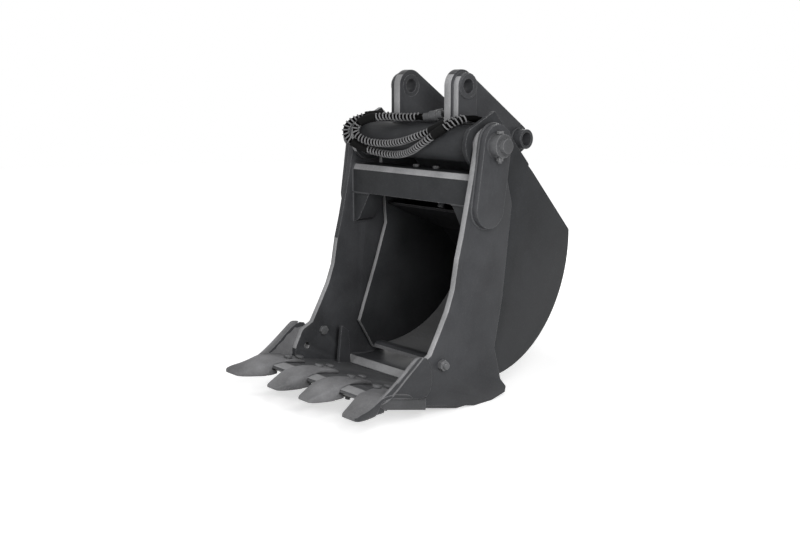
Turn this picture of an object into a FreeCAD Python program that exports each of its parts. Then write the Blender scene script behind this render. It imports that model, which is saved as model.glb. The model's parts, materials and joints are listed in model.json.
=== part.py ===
"""Jaw bucket for a small excavator, 600 mm wide, in millimetres.

+X is to the right, +Y to the back and +Z up, with the teeth at -Y. The origin is the centre of the
dipper pin bore. Every profile is drawn from the hinge axis of the jaw, which lies behind and below it.
"""
import FreeCAD, Part
import math
import os
import Sketcher

Vector = FreeCAD.Vector
doc = FreeCAD.newDocument("JawBucket")

SIZES = {
    "bucket_width": 600.0,
    "dipper_height": 176.0,
    "dipper_back": 50.0,
    "pin_diameter": 45.0,
    "pin_clearance": 0.05,
    "jaw_plate": 20.0,
    "side_gap": 9.0,
    "shell_plate": 15.0,
    "shell_skin": 12.0,
    "shell_radius": 405.0,
    "shell_centre_back": 60.0,
    "shell_base_gap": 65.0,
    "shell_taper": 4.5,
    "tube_diameter": 114.0,
    "tube_wall": 12.0,
    "bush_length": 74.5,
    "ear_gap": 207.0,
    "ear_plate": 29.0,
    "ear_radius": 52.0,
    "pad_plate": 24.0,
    "pad_width": 84.0,
    "dipper_bush": 72.0,
    "dipper_bush_stand": 4.0,
    "pin_spacing": 326.0,
    "pin_slope": 32.8,
    "link_radius": 48.0,
    "link_boss": 66.0,
    "link_boss_stand": 37.0,
    "cheek_plate": 25.0,
    "cheek_radius": 60.0,
    "cheek_back": 12.0,
    "cheek_reach": 199.0,
    "cheek_lean": 8.7,
    "collar_diameter": 72.0,
    "collar_length": 34.0,
    "pin_stand": 16.0,
    "lock_bolt": 12.0,
    "beam_plate": 20.0,
    "beam_flange": 14.0,
    "brace_depth": 75.0,
    "blade_thickness": 34.0,
    "blade_rise": 12.8,
    "blade_fall": 12.0,
    "blade_nose": 20.0,
    "blade_bevel": 38.0,
    "floor_depth": 109.0,
    "floor_step": 20.0,
    "sole_depth": 34.0,
    "heel_plate": 8.0,
    "base_drop": 815.0,
    "guide_plate": 14.0,
    "tooth_width": 100.0,
    "tooth_pitch": 161.0,
    "tooth_bolt": 16.0,
    "side_bolt": 20.0,
    "wing_plate": 22.0,
    "rod_pin": 30.0,
    "rod_clearance": 5.5,
    "rod_eye_width": 54.0,
    "lug_gap": 60.0,
    "lug_plate": 34.0,
    "rod_pin_back": 20.0,
    "rod_pin_drop": 142.0,
    "anchor_back": 300.0,
    "anchor_below_deck": 58.43,
    "anchor_plate": 18.0,
    "anchor_gap": 56.0,
    "barrel_diameter": 84.0,
    "bore_diameter": 65.0,
    "rod_diameter": 40.0,
    "eye_radius": 32.0,
    "hose_diameter": 25.0,
}

sheet = doc.addObject("Spreadsheet::Sheet", "Sizes")
for row, (alias, value) in enumerate(SIZES.items(), start=1):
    sheet.set("A%d" % row, alias)
    sheet.set("B%d" % row, "%g" % value)
    sheet.setAlias("B%d" % row, alias)
doc.recompute()


def size(alias):
    return float(sheet.get(alias))


# Places that follow from the driving sizes, seen from the hinge axis
HALF = size("bucket_width") / 2
JAW_IN = HALF - size("jaw_plate")
SHELL_OUT = JAW_IN - size("side_gap")
SHELL_IN = SHELL_OUT - size("shell_plate")
EAR_IN = size("ear_gap") / 2
EAR_OUT = EAR_IN + size("ear_plate")
CHEEK_OUT = HALF + size("cheek_plate")
COLLAR_OUT = CHEEK_OUT + size("collar_length")
TUBE_OUT = size("tube_diameter") / 2
TUBE_IN = TUBE_OUT - size("tube_wall")
PIN_BORE = size("pin_diameter") + 2 * size("pin_clearance")
DIPPER = (size("dipper_back"), size("dipper_height"))
SLOPE = math.radians(size("pin_slope"))
LINK = (DIPPER[0] + size("pin_spacing") * math.cos(SLOPE), DIPPER[1] - size("pin_spacing") * math.sin(SLOPE))
RISE = math.radians(size("blade_rise"))
BASE = -size("base_drop")
FLOOR_TOP = BASE + size("sole_depth")
HINGE_PLACE = Vector(0, -size("dipper_back"), -size("dipper_height"))
PARTS = []
PROUD = 30.0


def blade_top(y):
    """Height of the blade's upper face at the depth y."""
    return FLOOR_TOP - math.tan(RISE) * (y + size("floor_depth"))


def rounded(points):
    """Closed outline through corners (u, v) or (u, v, radius), as lines and tangent arcs."""
    corners = []
    count = len(points)
    for index, corner in enumerate(points):
        here = Vector(corner[0], corner[1], 0)
        radius = corner[2] if len(corner) > 2 else 0
        if radius == 0:
            corners.append((here, None, here))
            continue
        before = Vector(points[index - 1][0], points[index - 1][1], 0)
        after = Vector(points[(index + 1) % count][0], points[(index + 1) % count][1], 0)
        back = (before - here).normalize()
        ahead = (after - here).normalize()
        half_angle = back.getAngle(ahead) / 2
        reach = radius / math.tan(half_angle)
        middle = (back + ahead).normalize()
        crown = here + middle * (radius / math.sin(half_angle) - radius)
        corners.append((here + back * reach, crown, here + ahead * reach))
    edges = []
    for index, (start, crown, end) in enumerate(corners):
        if crown is not None:
            edges.append(Part.Arc(start, crown, end))
        following = corners[(index + 1) % count][0]
        if end.distanceToPoint(following) > 1e-6:
            edges.append(Part.LineSegment(end, following))
    return edges


def circle(u, v, diameter):
    return [Part.Circle(Vector(u, v, 0), Vector(0, 0, 1), diameter / 2)]


def capsule(first, second, radius):
    """Outline of two equal circles and their common tangents."""
    a = Vector(first[0], first[1], 0)
    b = Vector(second[0], second[1], 0)
    along = (b - a).normalize()
    across = Vector(-along.y, along.x, 0) * radius
    return [
        Part.LineSegment(a + across, b + across),
        Part.Arc(b + across, b + along * radius, b - across),
        Part.LineSegment(b - across, a - across),
        Part.Arc(a - across, a - along * radius, a + across),
    ]


def tangent_point(first, first_radius, second, second_radius, side):
    """Points where the outer tangent of two circles touches them, on the side +1 (left) or -1."""
    a = Vector(first[0], first[1], 0)
    b = Vector(second[0], second[1], 0)
    gap = (b - a).Length
    along = (b - a).normalize()
    left = Vector(-along.y, along.x, 0) * side
    sine = (first_radius - second_radius) / gap
    normal = along * sine + left * math.sqrt(1 - sine * sine)
    return a + normal * first_radius, b + normal * second_radius


def new_body(label, x=0.0, y=0.0):
    """Body whose own origin lies at x and y from the middle of the hinge axis."""
    body = doc.addObject("PartDesign::Body", label)
    body.Label = label
    body.Placement = FreeCAD.Placement(HINGE_PLACE + Vector(x, y, 0), FreeCAD.Rotation())
    return body


def new_sketch(body, plane, geometry, bound=()):
    """Sketch on one of the body's own planes. Bound pairs tie a circle's diameter to a cell."""
    sketch = body.newObject("Sketcher::SketchObject", body.Label + "_sketch")
    support = [feature for feature in body.Origin.OriginFeatures if feature.Role == plane][0]
    sketch.AttachmentSupport = [(support, "")]
    sketch.MapMode = "FlatFace"
    sketch.addGeometry(geometry, False)
    for index, expression in bound:
        constraint = sketch.addConstraint(Sketcher.Constraint("Diameter", index, 2 * geometry[index].Radius))
        sketch.setExpression("Constraints[%d]" % constraint, expression)
    return sketch


def pad(body, sketch, length, reverse=False, symmetric=False):
    feature = body.newObject("PartDesign::Pad", body.Label + "_pad")
    feature.Profile = sketch
    feature.Reversed = reverse
    if symmetric:
        feature.SideType = "Symmetric"
    if isinstance(length, str):
        feature.setExpression("Length", length)
    else:
        feature.Length = length
    doc.recompute()
    return feature


def pocket(body, sketch):
    """Cut through everything on both sides of the sketch."""
    before = body.Tip.Shape.Volume
    feature = body.newObject("PartDesign::Pocket", body.Label + "_pocket")
    feature.Profile = sketch
    feature.SideType = "Symmetric"
    feature.Type = "ThroughAll"
    doc.recompute()
    if not feature.Shape.Volume < before - 1e-3:
        raise RuntimeError("A cut in %s takes nothing away" % body.Label)
    return feature


def finish(item):
    PARTS.append(item)
    return item


def group(label, items, place=None):
    """Several loose solids that share one node."""
    compound = doc.addObject("Part::Compound", label)
    compound.Label = label
    compound.Links = items
    compound.Placement = FreeCAD.Placement(place or Vector(), FreeCAD.Rotation())
    doc.recompute()
    return finish(compound)


def plate(label, geometry, inner, length, side=1, plane="YZ_Plane", bound=()):
    """Flat plate drawn from the side, from its inner face outward to the side +1 or -1."""
    body = new_body(label, side * inner)
    sketch = new_sketch(body, plane, geometry, bound)
    pad(body, sketch, length, reverse=side < 0)
    return body


def ring(label, centre, outer, bore, inner, length, side=1, outer_cell=None, bore_cell=None):
    """Bush, collar or boss on an axis along X."""
    geometry = circle(centre[0], centre[1], outer) + circle(centre[0], centre[1], bore)
    bound = []
    if outer_cell:
        bound.append((0, outer_cell))
    if bore_cell:
        bound.append((1, bore_cell))
    return plate(label, geometry, inner, length, side, bound=bound)


PIN_BORE_CELL = "Sizes.pin_diameter + 2 * Sizes.pin_clearance"
SIDES = (("right", 1), ("left", -1))

# Shell: the fixed back part, with its sides nested between the sides of the jaw

CENTRE = (size("shell_centre_back"), BASE + size("shell_base_gap") + size("shell_radius"))
REAR_CORNER = (465.0, -310.0)
DECK_BEND = (128.0, 8.0)
DECK_FRONT = (25.0, TUBE_OUT + 5.0)
PEAK = (52.0, 101.0)
STEP = (218.0, -70.0)
HUB_RADIUS = 75.0
SHELL_FRONT = [(66.0, -190.0), (75.0, -303.0), (29.0, -433.0), (-52.0, -640.0)]
BEND_TOP = (224.0, -147.0)
BEND_FOOT = (83.0, -640.0)
LIP_BACK = 12.0
COVER_FRONT = (78.0, -228.0)
COVER_BEND = (CENTRE[0] + 275.0, CENTRE[1] + 10.0)
COVER_PLATE = 8.0


def on_shell(angle, inset=0.0):
    """Point on the shell's back arc, with the angle in degrees from +Y."""
    radius = size("shell_radius") - inset
    turn = math.radians(angle)
    return Vector(CENTRE[0] + radius * math.cos(turn), CENTRE[1] + radius * math.sin(turn), 0)


CORNER_ANGLE = math.degrees(math.asin((REAR_CORNER[1] - CENTRE[1]) / size("shell_radius")))
LIP_ANGLE = -90.0 - math.degrees(math.asin((CENTRE[0] - LIP_BACK) / size("shell_radius")))
MIDDLE_ANGLE = (CORNER_ANGLE + LIP_ANGLE) / 2


def bent_prism(label, sections):
    """Solid whose level section is bent along the slanting bend line of the shell's sides."""
    drop = 1100.0
    top = 180.0
    lean = (BEND_TOP[0] - BEND_FOOT[0]) / (BEND_TOP[1] - BEND_FOOT[1])
    bend = BEND_TOP[0] + (top - BEND_TOP[1]) * lean
    points = [Vector(x, bend + y, top) for x, y in sections]
    wire = Part.makePolygon(points + points[:1])
    outline = doc.addObject("Part::Feature", label + "_outline")
    outline.Shape = Part.Face(wire)
    prism = doc.addObject("Part::Extrusion", label)
    prism.Base = outline
    prism.DirMode = "Custom"
    prism.Dir = Vector(0, -lean, -1).normalize()
    prism.LengthFwd = drop * math.sqrt(1 + lean * lean)
    prism.Solid = True
    return prism


def within(label, body, prism):
    """Common of a straight body, drawn at the hinge, and a bent prism."""
    common = doc.addObject("Part::Common", label)
    common.Label = label
    common.Base = body
    common.Tool = prism
    common.Placement = FreeCAD.Placement(HINGE_PLACE, FreeCAD.Rotation())
    doc.recompute()
    return finish(common)


def blank(label, geometry, start, length, bound=()):
    """Straight body at the hinge itself, to be trimmed by a bent prism."""
    body = doc.addObject("PartDesign::Body", label)
    body.Placement = FreeCAD.Placement(Vector(start, 0, 0), FreeCAD.Rotation())
    pad(body, new_sketch(body, "YZ_Plane", geometry, bound), length)
    return body


FORE = 900.0
AFT = 420.0
TAPER = AFT * math.tan(math.radians(size("shell_taper")))


def side_sections(side):
    return [
        (side * SHELL_IN, -FORE), (side * SHELL_OUT, -FORE), (side * SHELL_OUT, 0.0),
        (side * (SHELL_OUT - TAPER), AFT), (side * (SHELL_IN - TAPER), AFT), (side * SHELL_IN, 0.0),
    ]


def inner_sections():
    return [
        (-SHELL_IN, -FORE), (SHELL_IN, -FORE), (SHELL_IN, 0.0),
        (SHELL_IN - TAPER, AFT), (-SHELL_IN + TAPER, AFT), (-SHELL_IN, 0.0),
    ]


def shell_side_outline():
    """Hub round the hinge, peak, sloping top, rear corner, back arc and front edge."""
    hub_top = Vector(HUB_RADIUS * math.cos(math.radians(140)), HUB_RADIUS * math.sin(math.radians(140)), 0)
    hub_front = Vector(-HUB_RADIUS, 0, 0)
    hub_foot = Vector(HUB_RADIUS * math.cos(math.radians(-48)), HUB_RADIUS * math.sin(math.radians(-48)), 0)
    peak = Vector(PEAK[0], PEAK[1], 0)
    step = Vector(STEP[0], STEP[1], 0)
    step_foot = Vector(STEP[0], DECK_BEND[1] + (STEP[0] - DECK_BEND[0]) * deck_fall(), 0)
    corner = on_shell(CORNER_ANGLE)
    lip = on_shell(LIP_ANGLE)
    front = [Vector(y, z, 0) for y, z in SHELL_FRONT]
    edges = [
        Part.Arc(hub_foot, hub_front, hub_top),
        Part.LineSegment(hub_top, peak),
        Part.LineSegment(peak, step),
        Part.LineSegment(step, step_foot),
        Part.LineSegment(step_foot, corner),
        Part.Arc(corner, on_shell(MIDDLE_ANGLE), lip),
        Part.LineSegment(lip, front[-1]),
    ]
    for upper, lower in zip(front[1:], front[:-1]):
        edges.append(Part.LineSegment(upper, lower))
    edges.append(Part.LineSegment(front[0], hub_foot))
    return edges


def deck_fall():
    """Slope of the deck behind its bend, as height over depth."""
    corner = on_shell(CORNER_ANGLE)
    return (corner.y - DECK_BEND[1]) / (corner.x - DECK_BEND[0])


def make_shell_sides():
    for name, side in SIDES:
        geometry = shell_side_outline() + circle(0, 0, 2 * TUBE_IN)
        hole = [(len(geometry) - 1, "Sizes.tube_diameter - 2 * Sizes.tube_wall")]
        start = -SHELL_OUT - PROUD if side < 0 else 0.0
        body = blank("shell_side_%s_blank" % name, geometry, start, SHELL_OUT + PROUD, hole)
        prism = bent_prism("shell_side_%s_prism" % name, side_sections(side))
        within("shell_side_" + name, body, prism)


def make_back_wrapper():
    skin = size("shell_skin")
    geometry = [
        Part.Arc(on_shell(CORNER_ANGLE), on_shell(MIDDLE_ANGLE), on_shell(LIP_ANGLE)),
        Part.LineSegment(on_shell(LIP_ANGLE), on_shell(LIP_ANGLE, skin)),
        Part.Arc(on_shell(LIP_ANGLE, skin), on_shell(MIDDLE_ANGLE, skin), on_shell(CORNER_ANGLE, skin)),
        Part.LineSegment(on_shell(CORNER_ANGLE, skin), on_shell(CORNER_ANGLE)),
    ]
    body = blank("back_wrapper_blank", geometry, -HALF, "Sizes.bucket_width")
    prism = bent_prism("back_wrapper_prism", inner_sections())
    within("back_wrapper", body, prism)


def deck_outline():
    """Folded plate from the hinge tube over the bend to the rear corner, with its under side."""
    skin = size("shell_skin")
    front = Vector(DECK_FRONT[0], DECK_FRONT[1], 0)
    bend = Vector(DECK_BEND[0], DECK_BEND[1], 0)
    corner = on_shell(CORNER_ANGLE)
    inner_corner = on_shell(CORNER_ANGLE, skin)
    first = (bend - front).normalize()
    second = (corner - bend).normalize()
    down_first = Vector(first.y, -first.x, 0) * skin
    down_second = Vector(second.y, -second.x, 0) * skin
    middle = (down_first + down_second).normalize()
    under_bend = bend + middle * (skin / math.cos(down_first.getAngle(down_second) / 2))
    share = (inner_corner.x - under_bend.x) / second.x
    under_corner = under_bend + second * share
    return front, bend, corner, inner_corner, under_corner, under_bend, front + down_first


def make_deck():
    loop = deck_outline()
    edges = []
    for index, point in enumerate(loop):
        following = loop[(index + 1) % len(loop)]
        edges.append(Part.LineSegment(point, following))
    body = blank("deck_blank", edges, -HALF, "Sizes.bucket_width")
    sketch = new_sketch(body, "YZ_Plane", circle(0, 0, 2 * TUBE_OUT), [(0, "Sizes.tube_diameter")])
    pocket(body, sketch)
    prism = bent_prism("deck_prism", inner_sections())
    within("top_deck", body, prism)


def make_closing_edge():
    """Thick bar along the lower lip of the shell, on top of the wrapper."""
    skin = size("shell_skin")
    face = skin + 10.0
    start, middle, end = LIP_ANGLE, LIP_ANGLE + 3.5, LIP_ANGLE + 7.0
    geometry = [
        Part.Arc(on_shell(start, skin), on_shell(middle, skin), on_shell(end, skin)),
        Part.LineSegment(on_shell(end, skin), on_shell(end - 1.5, face)),
        Part.Arc(on_shell(end - 1.5, face), on_shell(middle, face), on_shell(start + 1.5, face)),
        Part.LineSegment(on_shell(start + 1.5, face), on_shell(start, skin)),
    ]
    body = blank("shell_closing_edge_blank", geometry, -HALF, "Sizes.bucket_width")
    prism = bent_prism("shell_closing_edge_prism", inner_sections())
    within("shell_closing_edge", body, prism)


def make_inner_cover():
    """Plate that closes the cylinder's space off from the load."""
    skin = size("shell_skin")
    front = Vector(COVER_FRONT[0], COVER_FRONT[1], 0)
    bend = Vector(COVER_BEND[0], COVER_BEND[1], 0)
    under = Vector(0, -COVER_PLATE, 0)
    under_bend = bend + under + Vector(-3, 0, 0)
    loop = [front, bend, on_shell(-15.0, skin), on_shell(-16.4, skin), under_bend, front + under]
    edges = []
    for index, point in enumerate(loop):
        following = loop[(index + 1) % len(loop)]
        if index == 2:
            edges.append(Part.Arc(point, on_shell(-15.7, skin), following))
        else:
            edges.append(Part.LineSegment(point, following))
    body = blank("inner_cover_blank", edges, -HALF, "Sizes.bucket_width")
    prism = bent_prism("inner_cover_prism", inner_sections())
    within("inner_cover", body, prism)


def make_hinge_tube():
    geometry = circle(0, 0, 2 * TUBE_OUT) + circle(0, 0, 2 * TUBE_IN)
    bound = [(0, "Sizes.tube_diameter"), (1, "Sizes.tube_diameter - 2 * Sizes.tube_wall")]
    finish(plate("hinge_tube", geometry, -SHELL_IN, 2 * SHELL_IN, bound=bound))
    for name, side in SIDES:
        finish(ring("hinge_bush_" + name, (0, 0), 2 * TUBE_IN, PIN_BORE, JAW_IN - 0.5 - size("bush_length"),
                    "Sizes.bush_length", side, "Sizes.tube_diameter - 2 * Sizes.tube_wall", PIN_BORE_CELL))


def ear_outline():
    """Round tops at both pins, a straight edge between them and a foot that follows tube and deck."""
    dipper_radius = size("ear_radius")
    link_radius = size("link_radius")
    front = DIPPER[0] - dipper_radius
    foot_y = 222.0
    foot = (foot_y, DECK_BEND[1] + (foot_y - DECK_BEND[0]) * deck_fall() - 4)
    top_front, top_rear = tangent_point(DIPPER, dipper_radius, LINK, link_radius, 1)
    link_low, foot_point = tangent_point(LINK, link_radius, foot, 0.0, 1)
    turn = math.radians(180 - (90 - size("pin_slope")) / 2 - 20)
    crown = Vector(DIPPER[0] + dipper_radius * math.cos(turn), DIPPER[1] + dipper_radius * math.sin(turn), 0)
    rear = Vector(LINK[0] + link_radius, LINK[1], 0)
    low_front = Vector(front, TUBE_OUT - 14, 0)
    return [
        Part.Arc(Vector(front, DIPPER[1], 0), crown, top_front),
        Part.LineSegment(top_front, top_rear),
        Part.Arc(top_rear, rear, link_low),
        Part.LineSegment(link_low, foot_point),
        Part.LineSegment(foot_point, low_front),
        Part.LineSegment(low_front, Vector(front, DIPPER[1], 0)),
    ]


def make_ears():
    for name, side in SIDES:
        geometry = ear_outline() + circle(DIPPER[0], DIPPER[1], size("dipper_bush"))
        geometry += circle(LINK[0], LINK[1], size("link_boss"))
        count = len(geometry)
        bound = [(count - 2, "Sizes.dipper_bush"), (count - 1, "Sizes.link_boss")]
        body = plate("ear_" + name, geometry, EAR_IN, "Sizes.ear_plate", side, bound=bound)
        pocket(body, new_sketch(body, "YZ_Plane", circle(0, 0, 2 * TUBE_OUT), [(0, "Sizes.tube_diameter")]))
        deck = deck_outline()
        front, bend, corner, under_front = deck[0], deck[1], deck[2], deck[-1]
        below = Vector(under_front.x, corner.y, 0)
        loop = [front, bend, corner, below, under_front]
        edges = []
        for index, point in enumerate(loop):
            edges.append(Part.LineSegment(point, loop[(index + 1) % len(loop)]))
        pocket(body, new_sketch(body, "YZ_Plane", edges))
        finish(body)
        half = size("pad_width") / 2
        foot = TUBE_OUT + 8
        pad_top = Vector(DIPPER[0], DIPPER[1] + half, 0)
        edges = [
            Part.Arc(Vector(DIPPER[0] - half, DIPPER[1], 0), pad_top, Vector(DIPPER[0] + half, DIPPER[1], 0)),
            Part.LineSegment(Vector(DIPPER[0] + half, DIPPER[1], 0), Vector(DIPPER[0] + half, foot, 0)),
            Part.LineSegment(Vector(DIPPER[0] + half, foot, 0), Vector(DIPPER[0] - half, foot, 0)),
            Part.LineSegment(Vector(DIPPER[0] - half, foot, 0), Vector(DIPPER[0] - half, DIPPER[1], 0)),
        ]
        geometry = edges + circle(DIPPER[0], DIPPER[1], size("dipper_bush"))
        finish(plate("ear_pad_" + name, geometry, EAR_OUT, "Sizes.pad_plate", side,
                     bound=[(4, "Sizes.dipper_bush")]))
        bush_length = "Sizes.ear_plate + Sizes.pad_plate + Sizes.dipper_bush_stand"
        finish(ring("dipper_bush_" + name, DIPPER, size("dipper_bush"), size("pin_diameter"), EAR_IN,
                    bush_length, side, "Sizes.dipper_bush", "Sizes.pin_diameter"))
        finish(ring("link_boss_" + name, LINK, size("link_boss"), size("pin_diameter"), EAR_IN,
                    "Sizes.ear_plate + Sizes.link_boss_stand", side, "Sizes.link_boss", "Sizes.pin_diameter"))


def under_deck(y):
    """Height of the deck's under side behind its bend."""
    under_bend = deck_outline()[5]
    return under_bend.y + (y - under_bend.x) * deck_fall()


def make_anchor():
    """Two lugs under the deck and the pin that holds the foot of the cylinder."""
    anchor = (ANCHOR.y, ANCHOR.z)
    half = size("eye_radius") + 4
    inner = size("anchor_gap") / 2
    lugs = []
    for name, side in SIDES:
        left = anchor[0] - half
        right = anchor[0] + half
        low = Vector(anchor[0], anchor[1] - half, 0)
        edges = [
            Part.Arc(Vector(right, anchor[1], 0), low, Vector(left, anchor[1], 0)),
            Part.LineSegment(Vector(left, anchor[1], 0), Vector(left, under_deck(left), 0)),
            Part.LineSegment(Vector(left, under_deck(left), 0), Vector(right, under_deck(right), 0)),
            Part.LineSegment(Vector(right, under_deck(right), 0), Vector(right, anchor[1], 0)),
        ]
        geometry = edges + circle(anchor[0], anchor[1], size("rod_pin") + 2 * size("pin_clearance"))
        bound = [(4, "Sizes.rod_pin + 2 * Sizes.pin_clearance")]
        lugs.append(plate("anchor_lug_" + name, geometry, inner, "Sizes.anchor_plate", side, bound=bound))
    group("anchor_lugs", lugs)
    reach = inner + size("anchor_plate") + 6
    finish(plate("anchor_pin", circle(anchor[0], anchor[1], size("rod_pin")), -reach, 2 * reach,
                 bound=[(0, "Sizes.rod_pin")]))


# Jaw: the swinging front part, with its sides outside the sides of the shell

DEPTH = size("base_drop") / 815.0


def stretched(points):
    """Outline points, drawn for a base 815 below the hinge, with their heights in keeping with the base."""
    return [(point[0], point[1] * DEPTH) + tuple(point[2:]) for point in points]


JAW_FRONT = stretched([
    (-74.0, -112.0, 30.0), (-110.0, -267.0), (-130.0, -339.0), (-147.0, -430.0), (-171.0, -492.0),
    (-205.0, -553.0), (-243.0, -617.0, 8.0), (-286.0, -637.0, 28.0), (-316.0, -694.0, 20.0),
])
JAW_REAR = stretched([(37.0, -641.0), (70.0, -486.0, 90.0), (107.0, -188.0, 40.0)])
JAW_HEEL = [(92.0, BASE + 14.0), (96.0, BASE + 33.0), (69.0, BASE + 63.0, 10.0)]
JAW_HUB = 52.0
SIDE_BOLT = stretched([(-200.0, -652.0)])[0]
SPARE_HOLE = stretched([(-270.0, -695.0)])[0]
BLADE_END = -265.0
BLADE_FRONT = -455.0
FLOOR_REAR = 88.0
SOLE_FRONT = -52.0
SOLE_REAR = 30.0
SOLE_RISE = 15.0
HEEL_TOP = BASE + size("heel_plate")
BLADE_REAR = -size("floor_depth") - (HEEL_TOP - FLOOR_TOP) / math.tan(RISE)


def jaw_side_outline():
    hub_top = Vector(0, JAW_HUB, 0)
    hub_front = Vector(JAW_HUB * math.cos(math.radians(155)), JAW_HUB * math.sin(math.radians(155)), 0)
    hub_rear = Vector(JAW_HUB * math.cos(math.radians(-5)), JAW_HUB * math.sin(math.radians(-5)), 0)
    under_blade = blade_top(BLADE_END) - size("blade_thickness") / math.cos(RISE) + 14.0
    lobe = JAW_FRONT[-1][0] - 2.0
    points = [(hub_front.x, hub_front.y)] + JAW_FRONT
    points += [(lobe, blade_top(lobe)), (BLADE_END, blade_top(BLADE_END)), (BLADE_END, under_blade)]
    points += [(SOLE_FRONT, BASE), (SOLE_REAR, BASE)] + JAW_HEEL + JAW_REAR + [(hub_rear.x, hub_rear.y)]
    edges = rounded(points)
    closing = edges.pop()
    edges.append(Part.Arc(closing.StartPoint, hub_top, closing.EndPoint))
    return edges


def make_jaw_sides():
    for name, side in SIDES:
        geometry = jaw_side_outline()
        count = len(geometry)
        geometry += circle(0, 0, PIN_BORE)
        geometry += circle(SIDE_BOLT[0], SIDE_BOLT[1], size("side_bolt") + 0.2)
        geometry += circle(SPARE_HOLE[0], SPARE_HOLE[1], size("side_bolt") + 2.0)
        bound = [
            (count, PIN_BORE_CELL), (count + 1, "Sizes.side_bolt + 0.2"), (count + 2, "Sizes.side_bolt + 2"),
        ]
        finish(plate("jaw_side_" + name, geometry, JAW_IN, "Sizes.jaw_plate", side, bound=bound))


def make_cheeks():
    lean = math.radians(size("cheek_lean"))
    top = (size("cheek_back"), size("cheek_back") / 3)
    low = (top[0] - size("cheek_reach") * math.sin(lean), top[1] - size("cheek_reach") * math.cos(lean))
    for name, side in SIDES:
        geometry = capsule(top, low, size("cheek_radius")) + circle(0, 0, PIN_BORE)
        finish(plate("hinge_cheek_" + name, geometry, HALF, "Sizes.cheek_plate", side,
                     bound=[(4, PIN_BORE_CELL)]))


def make_hinge_pins():
    """Stub pins with their collars and the bolts across them."""
    bolt = size("lock_bolt")
    middle = CHEEK_OUT + size("collar_length") / 2
    pin_start = JAW_IN - 0.5 - size("bush_length")
    pin_end = COLLAR_OUT + size("pin_stand")
    bolts = []
    for name, side in SIDES:
        collar = ring("hinge_collar_" + name, (0, 0), size("collar_diameter"), PIN_BORE, CHEEK_OUT,
                      "Sizes.collar_length", side, "Sizes.collar_diameter", PIN_BORE_CELL)
        across = circle(side * (middle - CHEEK_OUT), 0, bolt)
        pocket(collar, new_sketch(collar, "XY_Plane", across, [(0, "Sizes.lock_bolt")]))
        finish(collar)
        round_face = circle(0, 0, size("pin_diameter"))
        pin = plate("hinge_pin_" + name, round_face, pin_start, pin_end - pin_start, side,
                    bound=[(0, "Sizes.pin_diameter")])
        across = circle(side * (middle - pin_start), 0, bolt)
        pocket(pin, new_sketch(pin, "XY_Plane", across, [(0, "Sizes.lock_bolt")]))
        finish(pin)
        bolts.append(make_cross_bolt("lock_bolt_" + name, side * middle, bolt))
    group("hinge_lock_bolts", bolts)


def hexagon(u, v, across_flats, turn=0.0):
    radius = across_flats / math.sqrt(3)
    corners = []
    for index in range(6):
        angle = math.radians(60 * index + turn)
        corners.append((u + radius * math.cos(angle), v + radius * math.sin(angle)))
    return rounded(corners)


def make_cross_bolt(label, x, bolt):
    """Vertical bolt with a head on top and a nut below, seated on the collar's round."""
    reach = size("collar_diameter") / 2
    body = doc.addObject("PartDesign::Body", label)
    body.Label = label
    body.Placement = FreeCAD.Placement(HINGE_PLACE + Vector(x, 0, reach), FreeCAD.Rotation())
    head = bolt * 0.65
    pad(body, new_sketch(body, "XY_Plane", hexagon(0, 0, bolt * 1.6)), head)
    shank = new_sketch(body, "XY_Plane", circle(0, 0, bolt), [(0, "Sizes.lock_bolt")])
    pad(body, shank, 2 * reach + 16, reverse=True)
    nut = new_sketch(body, "XY_Plane", hexagon(0, 0, bolt * 1.6))
    nut.AttachmentOffset = FreeCAD.Placement(Vector(0, 0, -2 * reach), FreeCAD.Rotation())
    pad(body, nut, bolt * 0.8, reverse=True)
    return body


BEAM_FRONT = -60.0
BEAM_TOP = -88.0
BEAM_FOLD = -106.0
BEAM_FOOT = -185.0
BEAM_BACK = 40.0
KEEPER_X = 47.0
KEEPER_BOLT = 12.0


def make_crossbeam():
    web = size("beam_plate")
    flange = size("beam_flange")
    outline = [
        (BEAM_FRONT, BEAM_FOOT), (BEAM_FRONT, BEAM_FOLD), (BEAM_FRONT + 10, BEAM_TOP), (BEAM_BACK, BEAM_TOP),
        (BEAM_BACK, BEAM_TOP - flange), (BEAM_FRONT + web, BEAM_TOP - flange),
        (BEAM_FRONT + web, BEAM_FOOT + flange), (BEAM_FRONT + web + 22, BEAM_FOOT + flange),
        (BEAM_FRONT + web + 22, BEAM_FOOT),
    ]
    body = plate("crossbeam", rounded(outline), -JAW_IN, 2 * JAW_IN)
    keeper = circle(KEEPER_X + JAW_IN, size("rod_pin_back"), KEEPER_BOLT)
    keeper += circle(JAW_IN - KEEPER_X, size("rod_pin_back"), KEEPER_BOLT)
    sketch = new_sketch(body, "XY_Plane", keeper)
    pocket(body, sketch)
    finish(body)


def make_braces():
    """Gusset blocks in the corners under the beam."""
    for name, side in SIDES:
        body = new_body("corner_brace_" + name, y=BEAM_FRONT + 2)
        points = [
            (side * JAW_IN, BEAM_FOOT), (side * (JAW_IN - 84), BEAM_FOOT),
            (side * (JAW_IN - 28), BEAM_FOOT - 92), (side * JAW_IN, BEAM_FOOT - 105),
        ]
        pad(body, new_sketch(body, "XZ_Plane", rounded(points)), "Sizes.brace_depth", reverse=True)
        finish(body)


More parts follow.
